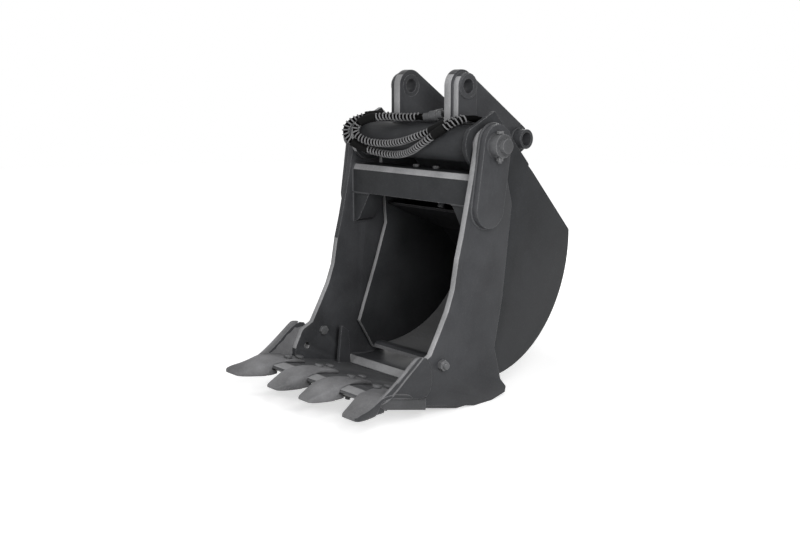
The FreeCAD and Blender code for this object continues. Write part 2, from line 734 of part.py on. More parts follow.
def make_rod_mount():
    """Lug blocks under the beam's top, the rod pin and the bolts that keep it."""
    inner = size("lug_gap") / 2
    y = size("rod_pin_back")
    z = -size("rod_pin_drop")
    top = BEAM_TOP - size("beam_flange")
    radius = size("eye_radius")
    front = BEAM_FRONT + size("beam_plate")
    for name, side in SIDES:
        edges = [
            Part.LineSegment(Vector(front, top, 0), Vector(y + radius - 12, top, 0)),
            Part.LineSegment(Vector(y + radius - 12, top, 0), Vector(y + radius, z, 0)),
            Part.Arc(Vector(y + radius, z, 0), Vector(y, z - radius, 0), Vector(y - radius, z, 0)),
            Part.LineSegment(Vector(y - radius, z, 0), Vector(front, z, 0)),
            Part.LineSegment(Vector(front, z, 0), Vector(front, top, 0)),
        ]
        geometry = edges + circle(y, z, size("rod_pin"))
        body = plate("rod_lug_" + name, geometry, inner, "Sizes.lug_plate", side, bound=[(5, "Sizes.rod_pin")])
        across = circle(side * (KEEPER_X - inner), y, KEEPER_BOLT)
        sketch = new_sketch(body, "XY_Plane", across)
        sketch.AttachmentOffset = FreeCAD.Placement(Vector(0, 0, z + size("rod_pin") / 2), FreeCAD.Rotation())
        feature = body.newObject("PartDesign::Pocket", body.Label + "_keeper")
        feature.Profile = sketch
        feature.Reversed = True
        feature.Length = 200
        doc.recompute()
        finish(body)
    reach = inner + size("lug_plate")
    finish(plate("rod_pin", circle(y, z, size("rod_pin")), -reach, 2 * reach, bound=[(0, "Sizes.rod_pin")]))
    heads = []
    for name, side in SIDES:
        keeper = doc.addObject("Part::Feature", "keeper_" + name)
        shank_length = BEAM_TOP - (z + size("rod_pin") / 2)
        centre = Vector(side * KEEPER_X, y, BEAM_TOP - shank_length)
        shank = Part.makeCylinder(KEEPER_BOLT / 2, shank_length, centre)
        head_wire = Part.Wire([edge.toShape() for edge in hexagon(side * KEEPER_X, y, 19.0)])
        head_wire.translate(Vector(0, 0, BEAM_TOP))
        head = Part.Face(head_wire).extrude(Vector(0, 0, 8))
        keeper.Shape = shank.fuse(head)
        heads.append(keeper)
    group("rod_pin_keeper_bolts", heads, HINGE_PLACE)


def make_blade():
    """Cutting edge: nose bevelled on both faces, full width in front and narrower between the jaw's sides."""
    thick = size("blade_thickness")
    along = Vector(math.cos(RISE), -math.sin(RISE), 0)
    normal = Vector(math.sin(RISE), math.cos(RISE), 0)
    tip = Vector(BLADE_FRONT, blade_top(BLADE_FRONT), 0)
    nose = Vector(0, tip.x, tip.y)
    nose_top = tip - normal * size("blade_fall")
    nose_low = tip - normal * size("blade_nose")
    upper = tip + along * size("blade_bevel")
    lower = upper - normal * thick
    rest_y = lower.x + (lower.y - BASE) / math.tan(RISE)
    outline = [
        (upper.x, upper.y), (nose_top.x, nose_top.y), (nose_low.x, nose_low.y), (lower.x, lower.y),
        (rest_y, BASE), (BLADE_REAR, BASE), (BLADE_REAR, blade_top(BLADE_REAR)),
    ]
    body = plate("cutting_edge", rounded(outline), -HALF, "Sizes.bucket_width")
    cuts = []
    for left, right in ((-PROUD, size("jaw_plate")), (HALF + JAW_IN, 2 * HALF + PROUD)):
        cuts += rounded([(left, BLADE_END), (right, BLADE_END), (right, FLOOR_REAR), (left, FLOOR_REAR)])
    pocket(body, new_sketch(body, "XY_Plane", cuts))
    holes = []
    for x, row in bolt_places():
        holes += circle(x + HALF, row, size("tooth_bolt"))
    sketch = new_sketch(body, "XY_Plane", holes)
    slope = FreeCAD.Rotation(Vector(1, 0, 0), -size("blade_rise"))
    sketch.AttachmentOffset = FreeCAD.Placement(nose, slope)
    pocket(body, sketch)
    finish(body)


BOLT_SEAT = 15.5
HEAD_DIAMETER = 28.0
BOLT_ROWS = (80.0, 126.0)
CORNER_ROWS = (62.0, 108.0)
CORNER_BOLT_X = HALF - 78.0


def bolt_places():
    """Across and along the blade, from its nose, for each tooth bolt."""
    places = []
    for side in (-1, 1):
        places += [(side * size("tooth_pitch") / 2, row) for row in BOLT_ROWS]
        places += [(side * CORNER_BOLT_X, row) for row in CORNER_ROWS]
    return places


def make_floor():
    """Floor with a bevelled step up from the blade, and the heel plate under it."""
    start = -size("floor_depth")
    top = FLOOR_TOP + size("floor_step")
    outline = [
        (start, FLOOR_TOP), (start + 31, top), (-8.0, top - 9), (FLOOR_REAR, top - 9),
        (FLOOR_REAR, HEEL_TOP + SOLE_RISE), (SOLE_REAR, HEEL_TOP), (BLADE_REAR, HEEL_TOP),
    ]
    finish(plate("jaw_floor", rounded(outline), -JAW_IN, 2 * JAW_IN))
    heel = [(BLADE_REAR, HEEL_TOP), (SOLE_REAR, HEEL_TOP), (SOLE_REAR, BASE), (BLADE_REAR, BASE)]
    finish(plate("heel_plate", rounded(heel), -JAW_IN, 2 * JAW_IN))


def make_guides():
    """Upright guides on the blade that keep the shell's sides in line."""
    inner = SHELL_IN - 5.0 - size("guide_plate")
    for name, side in SIDES:
        front, rear = -166.0, -112.0
        outline = [
            (front, blade_top(front)), (-150.0, FLOOR_TOP + 145, 4.0), (-120.0, FLOOR_TOP + 121, 6.0),
            (rear, blade_top(rear)),
        ]
        finish(plate("guide_plate_" + name, rounded(outline), inner, "Sizes.guide_plate", side))


# Teeth: one-piece forgings that fork over the blade's nose and bolt down

def tooth_profile(tip_out, leg):
    """Side view in the blade's own slope: y from the nose back, z from the upper face up."""
    thick = size("blade_thickness")
    bevel = size("blade_bevel")
    return [
        (0.0, -size("blade_fall")), (bevel, 0.0), (leg, 0.0), (leg, 5.0, 3.0), (leg - 16, 17.0, 8.0),
        (48.0, 24.0, 60.0), (-8.0, 24.0, 50.0), (-tip_out, -47.0, 4.0), (-tip_out + 6, -61.0, 6.0),
        (-70.0, -72.0, 26.0), (bevel, -thick - 6.0), (bevel, -thick), (0.0, -size("blade_nose")),
    ]


def tooth_body(label, x, profile, width):
    nose = Vector(x, BLADE_FRONT, blade_top(BLADE_FRONT))
    body = doc.addObject("PartDesign::Body", label)
    body.Label = label
    slope = FreeCAD.Rotation(Vector(1, 0, 0), -size("blade_rise"))
    body.Placement = FreeCAD.Placement(HINGE_PLACE + nose, slope)
    pad(body, new_sketch(body, "YZ_Plane", rounded(profile)), width, symmetric=True)
    return body


def side_cut(body, side, edge):
    """Trim the side of a tooth outside an edge of (x, y) points, given from front to back."""
    far = size("tooth_width")
    points = [(side * x, y) for x, y in edge]
    points += [(side * far, edge[-1][1]), (side * far, edge[0][1])]
    pocket(body, new_sketch(body, "XY_Plane", rounded(points)))


def bolt_cut(body, places):
    """Bolt holes through the tooth with a flat seat for each head."""
    holes = []
    seats = []
    for x, y in places:
        holes += circle(x, y, size("tooth_bolt"))
        seats += circle(x, y, HEAD_DIAMETER + 3.0)
    bound = [(index, "Sizes.tooth_bolt") for index in range(len(holes))]
    pocket(body, new_sketch(body, "XY_Plane", holes, bound))
    sketch = new_sketch(body, "XY_Plane", seats)
    sketch.AttachmentOffset = FreeCAD.Placement(Vector(0, 0, BOLT_SEAT), FreeCAD.Rotation())
    before = body.Tip.Shape.Volume
    feature = body.newObject("PartDesign::Pocket", body.Label + "_seats")
    feature.Profile = sketch
    feature.Reversed = True
    feature.Length = 40
    doc.recompute()
    if not feature.Shape.Volume < before - 1e-3:
        raise RuntimeError("The bolt seats in %s take nothing away" % body.Label)


TOOTH_EDGE = [
    (27.0, -116.0), (29.0, -96.0), (44.0, -50.0), (50.0, -16.0), (50.0, 8.0), (38.0, 48.0), (30.0, 175.0),
]


def make_centre_teeth():
    for number, side in ((1, -1), (2, 1)):
        x = side * size("tooth_pitch") / 2
        body = tooth_body("centre_tooth_%d" % number, x, tooth_profile(94.0, 150.0), "Sizes.tooth_width")
        for edge_side in (1, -1):
            side_cut(body, edge_side, TOOTH_EDGE)
        bolt_cut(body, [(0, row) for row in BOLT_ROWS])
        finish(body)


def in_blade(y, z):
    """From the hinge's frame to the blade's own slope."""
    dy = y - BLADE_FRONT
    dz = z - blade_top(BLADE_FRONT)
    return dy * math.cos(RISE) - dz * math.sin(RISE), dy * math.sin(RISE) + dz * math.cos(RISE)


CORNER_EDGE = [(32.0, -142.0), (34.0, -122.0), (44.0, -66.0), (49.5, -20.0), (49.5, 8.0), (49.5, 175.0)]
WING = stretched([
    (-586.0, -725.0), (-523.0, -706.0, 120.0), (-425.0, -669.0, 80.0), (-320.0, -603.0, 14.0),
    (-268.0, -607.0, 8.0), (-288.0, -634.0, 12.0), (-439.0, -732.0), (-500.0, -744.0), (-572.0, -740.0),
])


def make_corner_teeth():
    """Corner forgings with an upright cutting wing outside the jaw's side."""
    width = size("tooth_width")
    centre = HALF + 12 - width / 2
    for name, side in SIDES:
        profile = tooth_profile(122.0, 134.0)
        body = tooth_body("corner_tooth_" + name, side * centre, profile, "Sizes.tooth_width")
        side_cut(body, -side, CORNER_EDGE)
        outline = [in_blade(point[0], point[1]) + tuple(point[2:]) for point in WING]
        sketch = new_sketch(body, "YZ_Plane", rounded(outline))
        offset = Vector(0, 0, side * (HALF - centre))
        sketch.AttachmentOffset = FreeCAD.Placement(offset, FreeCAD.Rotation())
        pad(body, sketch, "Sizes.wing_plate", reverse=side < 0)
        hole_x = side * (CORNER_BOLT_X - centre)
        bolt_cut(body, [(hole_x, row) for row in CORNER_ROWS])
        finish(body)


def make_tooth_fasteners():
    """Bolts with low domed heads and nuts under the blade, one node for each kind."""
    bolts = []
    nuts = []
    thick = size("blade_thickness")
    slope = FreeCAD.Rotation(Vector(1, 0, 0), -size("blade_rise"))
    for number, (x, row) in enumerate(bolt_places(), start=1):
        nose = Vector(x, BLADE_FRONT, blade_top(BLADE_FRONT))
        place = FreeCAD.Placement(nose, slope)
        shank = Part.makeCylinder(size("tooth_bolt") / 2, BOLT_SEAT + thick + 20, Vector(0, row, -thick - 20))
        head = Part.makeCylinder(HEAD_DIAMETER / 2, 8.0, Vector(0, row, BOLT_SEAT))
        head = head.makeChamfer(2.0, [head.Edges[0]])
        bolt = doc.addObject("Part::Feature", "tooth_bolt_%d" % number)
        bolt.Shape = shank.fuse(head)
        bolt.Placement = place
        bolts.append(bolt)
        wire = Part.Wire([edge.toShape() for edge in hexagon(0, row, 24.0)])
        wire.translate(Vector(0, 0, -thick - 13))
        body = Part.Face(wire).extrude(Vector(0, 0, 13))
        hole = Part.makeCylinder(size("tooth_bolt") / 2, 40, Vector(0, row, -thick - 20))
        nut = doc.addObject("Part::Feature", "tooth_nut_%d" % number)
        nut.Shape = body.cut(hole)
        nut.Placement = place
        nuts.append(nut)
    group("tooth_bolts", bolts, HINGE_PLACE)
    group("tooth_nuts", nuts, HINGE_PLACE)


def make_side_bolts():
    """Bolts through the jaw's sides, with the head inside and the nut and a long end outside."""
    y, z = SIDE_BOLT
    bolt = size("side_bolt")
    bolts = []
    for name, side in SIDES:
        body = new_body("side_bolt_" + name, side * JAW_IN)
        pad(body, new_sketch(body, "YZ_Plane", hexagon(y, z, 1.4 * bolt)), 0.6 * bolt, reverse=side > 0)
        shank = new_sketch(body, "YZ_Plane", circle(y, z, bolt), [(0, "Sizes.side_bolt")])
        pad(body, shank, size("jaw_plate") + 1.3 * bolt, reverse=side < 0)
        nut = new_sketch(body, "YZ_Plane", hexagon(y, z, 1.5 * bolt, 20.0))
        nut.AttachmentOffset = FreeCAD.Placement(Vector(0, 0, side * size("jaw_plate")), FreeCAD.Rotation())
        pad(body, nut, 0.75 * bolt, reverse=side < 0)
        bolts.append(body)
    group("side_bolts", bolts)


# Cylinder: along its own axis from the anchor to the rod pin

ANCHOR = Vector(0, size("anchor_back"), under_deck(size("anchor_back")) - size("anchor_below_deck"))
ROD_SHIFT = Vector(0, -0.8, -4.0)
ROD_EYE = Vector(0, size("rod_pin_back"), -size("rod_pin_drop")) + ROD_SHIFT
AXIS = ROD_EYE - ANCHOR
CLOSED_LENGTH = AXIS.Length


def cylinder_body(label):
    """Body whose own Z runs from the anchor pin to the rod pin and whose X stays across."""
    body = doc.addObject("PartDesign::Body", label)
    body.Label = label
    tilt = math.degrees(math.atan2(AXIS.z, AXIS.y))
    rotation = FreeCAD.Rotation(Vector(1, 0, 0), tilt - 90)
    body.Placement = FreeCAD.Placement(HINGE_PLACE + ANCHOR, rotation)
    return body


def revolve(body, outline):
    """Turn an (radius, length) outline about the body's own Z."""
    sketch = new_sketch(body, "XZ_Plane", rounded(outline))
    feature = body.newObject("PartDesign::Revolution", body.Label + "_turn")
    feature.Profile = sketch
    feature.ReferenceAxis = (sketch, ["V_Axis"])
    feature.Angle = 360
    doc.recompute()
    return feature


FOOT_FACE = 58.0
CAP_LENGTH = 16.0
GLAND_FLANGE = 14.0
GLAND_LENGTH = 42.0
GLAND_FACE = CLOSED_LENGTH - size("eye_radius") - 13.0
BARREL_END = GLAND_FACE - GLAND_FLANGE
ROD_FOOT = FOOT_FACE + CAP_LENGTH + 2.0
PISTON_LENGTH = 26.0
PISTON_LAND = 8.0


def make_barrel():
    outer = size("barrel_diameter") / 2
    bore = size("bore_diameter") / 2
    rod = size("rod_diameter") / 2
    tube = cylinder_body("cylinder_barrel")
    start = FOOT_FACE + CAP_LENGTH
    revolve(tube, [(bore, start), (outer, start), (outer, BARREL_END), (bore, BARREL_END)])
    finish(tube)
    half_eye = size("anchor_gap") / 2 - 1.0
    foot = cylinder_body("cylinder_foot")
    neck = half_eye - 2.0
    revolve(foot, [
        (0, 20.0), (neck, 20.0), (neck, FOOT_FACE - 14), (outer, FOOT_FACE), (outer, start), (0, start),
    ])
    pad(foot, new_sketch(foot, "YZ_Plane", circle(0, 0, 2 * size("eye_radius"))), 2 * half_eye, symmetric=True)
    bore_sketch = circle(0, 0, size("rod_pin") + 2 * size("pin_clearance"))
    pocket(foot, new_sketch(foot, "YZ_Plane", bore_sketch, [(0, "Sizes.rod_pin + 2 * Sizes.pin_clearance")]))
    finish(foot)
    gland = cylinder_body("cylinder_gland")
    inner = GLAND_FACE - GLAND_LENGTH
    revolve(gland, [
        (rod + 0.05, inner), (bore, inner), (bore, BARREL_END), (outer, BARREL_END), (outer, GLAND_FACE, 2.0),
        (rod + 0.05, GLAND_FACE),
    ])
    finish(gland)
    ports = []
    for label, place in (("port_boss_foot", start + 16), ("port_boss_gland", BARREL_END - 34)):
        boss = cylinder_body(label)
        sketch = new_sketch(boss, "XZ_Plane", circle(0, place, 26.0) + circle(0, place, 13.0))
        sketch.AttachmentOffset = FreeCAD.Placement(Vector(0, 0, outer - 3), FreeCAD.Rotation())
        pad(boss, sketch, 17.0)
        cut = new_sketch(boss, "XY_Plane", circle(0, 0, 2 * outer), [(0, "Sizes.barrel_diameter")])
        pocket(boss, cut)
        ports.append(boss)
    group("cylinder_ports", ports)


def make_rod():
    bore = size("bore_diameter") / 2
    rod = size("rod_diameter") / 2
    body = cylinder_body("cylinder_rod")
    piston_end = ROD_FOOT + PISTON_LENGTH
    neck = CLOSED_LENGTH - size("eye_radius") + 3
    seat = rod - 6
    revolve(body, [
        (0, ROD_FOOT), (seat, ROD_FOOT), (seat, piston_end), (rod, piston_end), (rod, neck), (0, neck),
    ])
    eye_cut = new_sketch(body, "YZ_Plane", circle(0, CLOSED_LENGTH, 2 * size("eye_radius")))
    pocket(body, eye_cut)
    finish(body)
    piston = cylinder_body("cylinder_piston")
    land = bore - 0.05
    groove = land - 3.0
    seal_start = ROD_FOOT + PISTON_LAND
    seal_end = piston_end - PISTON_LAND
    revolve(piston, [
        (seat, ROD_FOOT), (land, ROD_FOOT), (land, seal_start), (groove, seal_start),
        (groove, seal_end), (land, seal_end), (land, piston_end), (seat, piston_end),
    ])
    finish(piston)
    seal = cylinder_body("piston_seal")
    revolve(seal, [(groove, seal_start), (land, seal_start), (land, seal_end), (groove, seal_end)])
    finish(seal)
    eye = cylinder_body("rod_eye")
    hole = size("rod_pin") + 2 * size("rod_clearance")
    geometry = circle(0, CLOSED_LENGTH, 2 * size("eye_radius")) + circle(0, CLOSED_LENGTH, hole)
    bound = [(0, "2 * Sizes.eye_radius"), (1, "Sizes.rod_pin + 2 * Sizes.rod_clearance")]
    pad(eye, new_sketch(eye, "YZ_Plane", geometry, bound), "Sizes.rod_eye_width", symmetric=True)
    finish(eye)


# Hoses: two hydraulic hoses in spiral guards, looped over the hinge tube

HOSE_ROUTES = {
    "hose_outer": [
        (232, 68, 62), (231, 32, 76), (221, -10, 82), (190, -52, 66), (140, -82, 28), (72, -80, -10),
        (0, -62, -38), (-75, -54, -48), (-142, -60, -44), (-196, -78, -26), (-230, -98, -2), (-244, -108, 28),
        (-232, -98, 58), (-200, -70, 78), (-155, -34, 84), (-98, -17, 77), (-38, 0, 75), (18, 20, 82),
    ],
    "hose_inner": [
        (202, 68, 62), (200, 32, 76), (188, -8, 80), (158, -42, 64), (112, -64, 38), (58, -74, 16),
        (0, -72, -4), (-66, -71, -18), (-126, -74, -18), (-170, -88, -4), (-196, -96, 18), (-196, -90, 44),
        (-168, -72, 60), (-124, -55, 60), (-70, -44, 61), (-25, -27, 68), (20, -8, 76),
    ],
}


def hose_path(points):
    """Straight runs joined by tangent arcs, each as large as its two runs allow."""
    corners = [Vector(*point) for point in points]
    edges = []
    radii = []
    start = corners[0]
    for before, here, after in zip(corners[:-2], corners[1:-1], corners[2:]):
        back = before - here
        ahead = after - here
        turn = math.pi - back.getAngle(ahead)
        reach = 0.45 * min(back.Length, ahead.Length)
        radius = reach / math.tan(turn / 2)
        back.normalize()
        ahead.normalize()
        middle = (back + ahead).normalize()
        crown = here + middle * (radius / math.cos(turn / 2) - radius)
        edges.append(Part.LineSegment(start, here + back * reach).toShape())
        edges.append(Part.Arc(here + back * reach, crown, here + ahead * reach).toShape())
        start = here + ahead * reach
        radii.append(radius)
    edges.append(Part.LineSegment(start, corners[-1]).toShape())
    return Part.Wire(edges), radii


def make_hoses():
    radius = size("hose_diameter") / 2
    for label, points in HOSE_ROUTES.items():
        path, radii = hose_path(points)
        first = Vector(*points[0])
        ring_wire = Part.Wire(Part.makeCircle(radius, first, Vector(*points[1]) - first))
        tube = path.makePipeShell([ring_wire], True, False)
        expected = math.pi * radius ** 2 * path.Length
        print("%s: %.0f mm long, radii %s" % (label, path.Length, [round(value) for value in radii]))
        if abs(tube.Volume - expected) > 0.01 * expected:
            raise RuntimeError("%s has the volume %.0f and not %.0f" % (label, tube.Volume, expected))
        hose = doc.addObject("Part::Feature", label)
        hose.Label = label
        hose.Shape = tube
        hose.Placement = FreeCAD.Placement(HINGE_PLACE, FreeCAD.Rotation())
        finish(hose)


def make_hose_ends():
    """Plugged couplings at the free ends and elbows on the deck at the others."""
    couplings = []
    elbows = []
    radius = size("hose_diameter") / 2
    first, second = DECK_FRONT, DECK_BEND
    for label, points in HOSE_ROUTES.items():
        end = Vector(*points[-1])
        along = (end - Vector(*points[-2])).normalize()
        ferrule = Part.makeCylinder(radius + 1.5, 22, end, along)
        body = Part.makeCylinder(radius + 4.5, 24, end + along * 22, along)
        body = body.makeChamfer(2.0, [body.Edges[0], body.Edges[2]])
        nose = Part.makeCylinder(radius - 1, 16, end + along * 46, along)
        coupling = doc.addObject("Part::Feature", label + "_coupling")
        coupling.Shape = ferrule.fuse(body).fuse(nose).removeSplitter()
        couplings.append(coupling)
        start = Vector(*points[0])
        away = (start - Vector(*points[1])).normalize()
        knee = start + away * 24
        foot_z = first[1] + (knee.y - first[0]) * (second[1] - first[1]) / (second[0] - first[0]) + 1.0
        collar = Part.makeCylinder(radius - 1, 24, start, away)
        ball = Part.makeSphere(radius - 1, knee)
        stem = Part.makeCylinder(radius - 1, knee.z - foot_z + 9, Vector(knee.x, knee.y, foot_z - 9))
        base = Part.makeCylinder(radius + 4, 14, Vector(knee.x, knee.y, foot_z - 9))
        slab = Part.makePolygon([
            Vector(knee.x - 40, first[0], first[1]), Vector(knee.x - 40, second[0], second[1]),
            Vector(knee.x - 40, second[0], -80), Vector(knee.x - 40, first[0], -80),
            Vector(knee.x - 40, first[0], first[1]),
        ])
        below = Part.Face(slab).extrude(Vector(80, 0, 0))
        elbow = doc.addObject("Part::Feature", label + "_elbow")
        elbow.Shape = collar.fuse(ball).fuse(stem).fuse(base).cut(below).removeSplitter()
        elbows.append(elbow)
    group("hose_couplings", couplings, HINGE_PLACE)
    group("hose_elbows", elbows, HINGE_PLACE)


make_shell_sides()
make_back_wrapper()
make_deck()
make_closing_edge()
make_inner_cover()
make_hinge_tube()
make_ears()
make_anchor()
make_jaw_sides()
make_cheeks()
make_hinge_pins()
make_crossbeam()
make_braces()
make_rod_mount()
make_blade()
make_floor()
make_guides()
make_centre_teeth()
make_corner_teeth()
make_tooth_fasteners()
make_side_bolts()
make_barrel()
make_rod()
make_hoses()
make_hose_ends()

doc.recompute()
for item in doc.Objects:
    if "Invalid" in item.State or "Error" in item.State:
        raise RuntimeError("%s did not build: %s" % (item.Label, item.State))
for item in PARTS:
    if item.Shape.isNull() or not item.Shape.isValid():
        raise RuntimeError("%s has no sound shape" % item.Label)

os.makedirs("parts", exist_ok=True)
for item in PARTS:
    item.Shape.exportStep("parts/%s.step" % item.Label)
    print("%-24s %10.0f mm3  %d solids" % (item.Label, item.Shape.Volume, len(item.Shape.Solids)))
print(len(PARTS), "nodes")
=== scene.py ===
# %% [markdown]
# # Jaw bucket: dressing a welded steel attachment
# The object is a digger's bucket in two halves. A fixed shell hangs under two ears with pin bores, and
# a toothed jaw swings on a tube under them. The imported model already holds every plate, so the scene
# adds what a welder and a painter leave: softened edges, weld beads, hoses in their guards and paint.

import json
import math
import random

import bmesh
import bpy
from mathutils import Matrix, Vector


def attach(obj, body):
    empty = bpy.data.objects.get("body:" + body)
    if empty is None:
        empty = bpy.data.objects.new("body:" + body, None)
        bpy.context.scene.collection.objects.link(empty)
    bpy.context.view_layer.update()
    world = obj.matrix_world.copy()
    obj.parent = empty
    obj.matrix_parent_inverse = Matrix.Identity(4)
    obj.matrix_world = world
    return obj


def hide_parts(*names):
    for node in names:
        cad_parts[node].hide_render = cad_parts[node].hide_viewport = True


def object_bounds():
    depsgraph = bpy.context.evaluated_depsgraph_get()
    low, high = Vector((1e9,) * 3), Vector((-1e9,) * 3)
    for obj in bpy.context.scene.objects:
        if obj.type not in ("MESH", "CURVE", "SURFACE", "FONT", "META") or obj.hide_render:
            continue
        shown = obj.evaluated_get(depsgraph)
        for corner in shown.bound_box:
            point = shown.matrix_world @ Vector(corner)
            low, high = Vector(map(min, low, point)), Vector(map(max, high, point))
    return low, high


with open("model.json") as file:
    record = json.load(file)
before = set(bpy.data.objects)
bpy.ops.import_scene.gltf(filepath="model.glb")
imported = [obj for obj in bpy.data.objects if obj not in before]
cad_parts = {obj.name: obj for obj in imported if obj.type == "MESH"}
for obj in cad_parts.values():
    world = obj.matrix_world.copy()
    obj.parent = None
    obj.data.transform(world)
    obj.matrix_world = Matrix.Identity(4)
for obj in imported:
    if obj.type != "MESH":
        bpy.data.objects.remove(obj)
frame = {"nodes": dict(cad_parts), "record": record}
cad_low, cad_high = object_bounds()
nodes = frame["nodes"]
print("nodes:", len(nodes), "size:", [round(v, 3) for v in cad_high - cad_low])

# %% [markdown]
# Everything on the bucket is placed from the hinge axis of the jaw, which lies ahead of and below the
# front pin bore. Sizes here are in millimetres from that axis, and one helper turns them into metres.

# %% Places
HINGE = Vector((0.0, -0.050, -0.176))
DIPPER = (50.0, 176.0)
LINK = (324.03, -0.6)
EAR_IN, EAR_OUT, PAD_OUT = 103.5, 132.5, 156.5
SHELL_IN = 256.0
JAW_IN, JAW_OUT, CHEEK_OUT = 280.0, 300.0, 325.0
TUBE = 57.0


def at(x, y, z):
    """Point given in millimetres from the hinge axis, in the frame's metres."""
    return HINGE + Vector((x, y, z)) / 1000.0


def arc(x, centre, radius, start, end, steps=24):
    """Points on a circle about an axis along X, from one angle to the other, in degrees from +Y."""
    points = []
    for index in range(steps + 1):
        angle = math.radians(start + (end - start) * index / steps)
        points.append(at(x, centre[0] + radius * math.cos(angle), centre[1] + radius * math.sin(angle)))
    return points


# %% [markdown]
# A new mesh needs the same lines each time: link it, smooth it, name its finish and let it ride on
# the body that carries it. One function keeps that in a single place.

# %% Adding a piece
def add_mesh(name, points, faces, body, material):
    mesh = bpy.data.meshes.new(name)
    mesh.from_pydata([tuple(point) for point in points], [], faces)
    mesh.validate()
    mesh.polygons.foreach_set("use_smooth", [True] * len(mesh.polygons))
    piece = bpy.data.objects.new(name, mesh)
    bpy.context.scene.collection.objects.link(piece)
    mesh.materials.append(material)
    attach(piece, body)
    return piece


# %% [markdown]
# ## Paint
# The bucket is sprayed satin black over hot-rolled plate. Paint is never one flat tone: the film is a
# little thicker in places, it shows a fine orange-peel skin, and it rubs thin on the edges. A noise at
# two scales drives tone and roughness, and the Bevel node, compared with the true surface, finds edges.

# %% A paint maker
def mix(tree, factor, first, second):
    node = tree.nodes.new("ShaderNodeMix")
    node.data_type = "RGBA"
    for socket, value in (("Factor", factor), ("A", first), ("B", second)):
        target = [item for item in node.inputs if item.name == socket and item.enabled][0]
        if isinstance(value, bpy.types.NodeSocket):
            tree.links.new(value, target)
        elif isinstance(value, (tuple, list)):
            target.default_value = (*value, 1.0)
        else:
            target.default_value = value
    return [item for item in node.outputs if item.enabled][0]


def noise(tree, scale, detail=4.0, roughness=0.55, stretch=(1.0, 1.0, 1.0)):
    coordinates = tree.nodes.new("ShaderNodeTexCoord")
    mapping = tree.nodes.new("ShaderNodeMapping")
    mapping.inputs["Scale"].default_value = stretch
    texture = tree.nodes.new("ShaderNodeTexNoise")
    texture.inputs["Scale"].default_value = scale
    texture.inputs["Detail"].default_value = detail
    texture.inputs["Roughness"].default_value = roughness
    tree.links.new(coordinates.outputs["Object"], mapping.inputs["Vector"])
    tree.links.new(mapping.outputs["Vector"], texture.inputs["Vector"])
    return texture.outputs["Fac"]


def spread(tree, value, low, high, start=0.35, end=0.65):
    """Map a noise's middle range onto low..high."""
    node = tree.nodes.new("ShaderNodeMapRange")
    node.inputs["From Min"].default_value = start
    node.inputs["From Max"].default_value = end
    node.inputs["To Min"].default_value = low
    node.inputs["To Max"].default_value = high
    tree.links.new(value, node.inputs["Value"])
    return node.outputs["Result"]


def math_node(tree, operation, first, second):
    node = tree.nodes.new("ShaderNodeMath")
    node.operation = operation
    for index, value in enumerate((first, second)):
        if isinstance(value, bpy.types.NodeSocket):
            tree.links.new(value, node.inputs[index])
        else:
            node.inputs[index].default_value = value
    return node.outputs[0]


def edge_mask(tree, radius):
    """White on edges: where a rounded normal leaves the true one."""
    bevel = tree.nodes.new("ShaderNodeBevel")
    bevel.samples = 4
    bevel.inputs["Radius"].default_value = radius
    geometry = tree.nodes.new("ShaderNodeNewGeometry")
    product = tree.nodes.new("ShaderNodeVectorMath")
    product.operation = "DOT_PRODUCT"
    tree.links.new(bevel.outputs["Normal"], product.inputs[0])
    tree.links.new(geometry.outputs["Normal"], product.inputs[1])
    return spread(tree, product.outputs["Value"], 1.0, 0.0, 0.90, 0.985)


def bump(tree, shader, layers):
    """Stack bumps given as (height, strength, distance)."""
    normal = None
    for height, strength, distance in layers:
        node = tree.nodes.new("ShaderNodeBump")
        node.inputs["Strength"].default_value = strength
        node.inputs["Distance"].default_value = distance
        tree.links.new(height, node.inputs["Height"])
        if normal is not None:
            tree.links.new(normal, node.inputs["Normal"])
        normal = node.outputs["Normal"]
    tree.links.new(normal, shader.inputs["Normal"])


def new_material(name, metallic=0.0):
    material = bpy.data.materials.new(name)
    material.use_nodes = True
    shader = material.node_tree.nodes["Principled BSDF"]
    shader.inputs["Metallic"].default_value = metallic
    return material, material.node_tree, shader


def paint(name, tone, rough, wear=0.5, peel=0.25, cloud=0.18, bare=(0.26, 0.26, 0.265), gloss=0.12):
    material, tree, shader = new_material(name)
    broad = noise(tree, 7.0, 5.0)
    fine = noise(tree, 160.0, 3.0)
    grain = noise(tree, 900.0, 2.0)
    light = tuple(channel * (1 + cloud) for channel in tone)
    dark = tuple(channel * (1 - cloud) for channel in tone)
    colour = mix(tree, spread(tree, broad, 0.0, 1.0), dark, light)
    dusty = spread(tree, fine, 0.0, 0.16, 0.5, 0.75)
    colour = mix(tree, dusty, colour, tuple(2.2 * channel for channel in tone))
    rubbed = math_node(tree, "MULTIPLY", edge_mask(tree, 0.0030), spread(tree, fine, 0.1, wear, 0.30, 0.60))
    colour = mix(tree, rubbed, colour, bare)
    tree.links.new(colour, shader.inputs["Base Color"])
    clouded = spread(tree, broad, rough - 0.05, rough + 0.05)
    patch = math_node(tree, "ADD", clouded, spread(tree, grain, -0.03, 0.03))
    tree.links.new(patch, shader.inputs["Roughness"])
    shader.inputs["Specular IOR Level"].default_value = gloss
    bump(tree, shader, [(broad, 0.20, 0.0012), (fine, 0.22 * peel / 0.25, 0.0004), (grain, peel, 0.00012)])
    return material


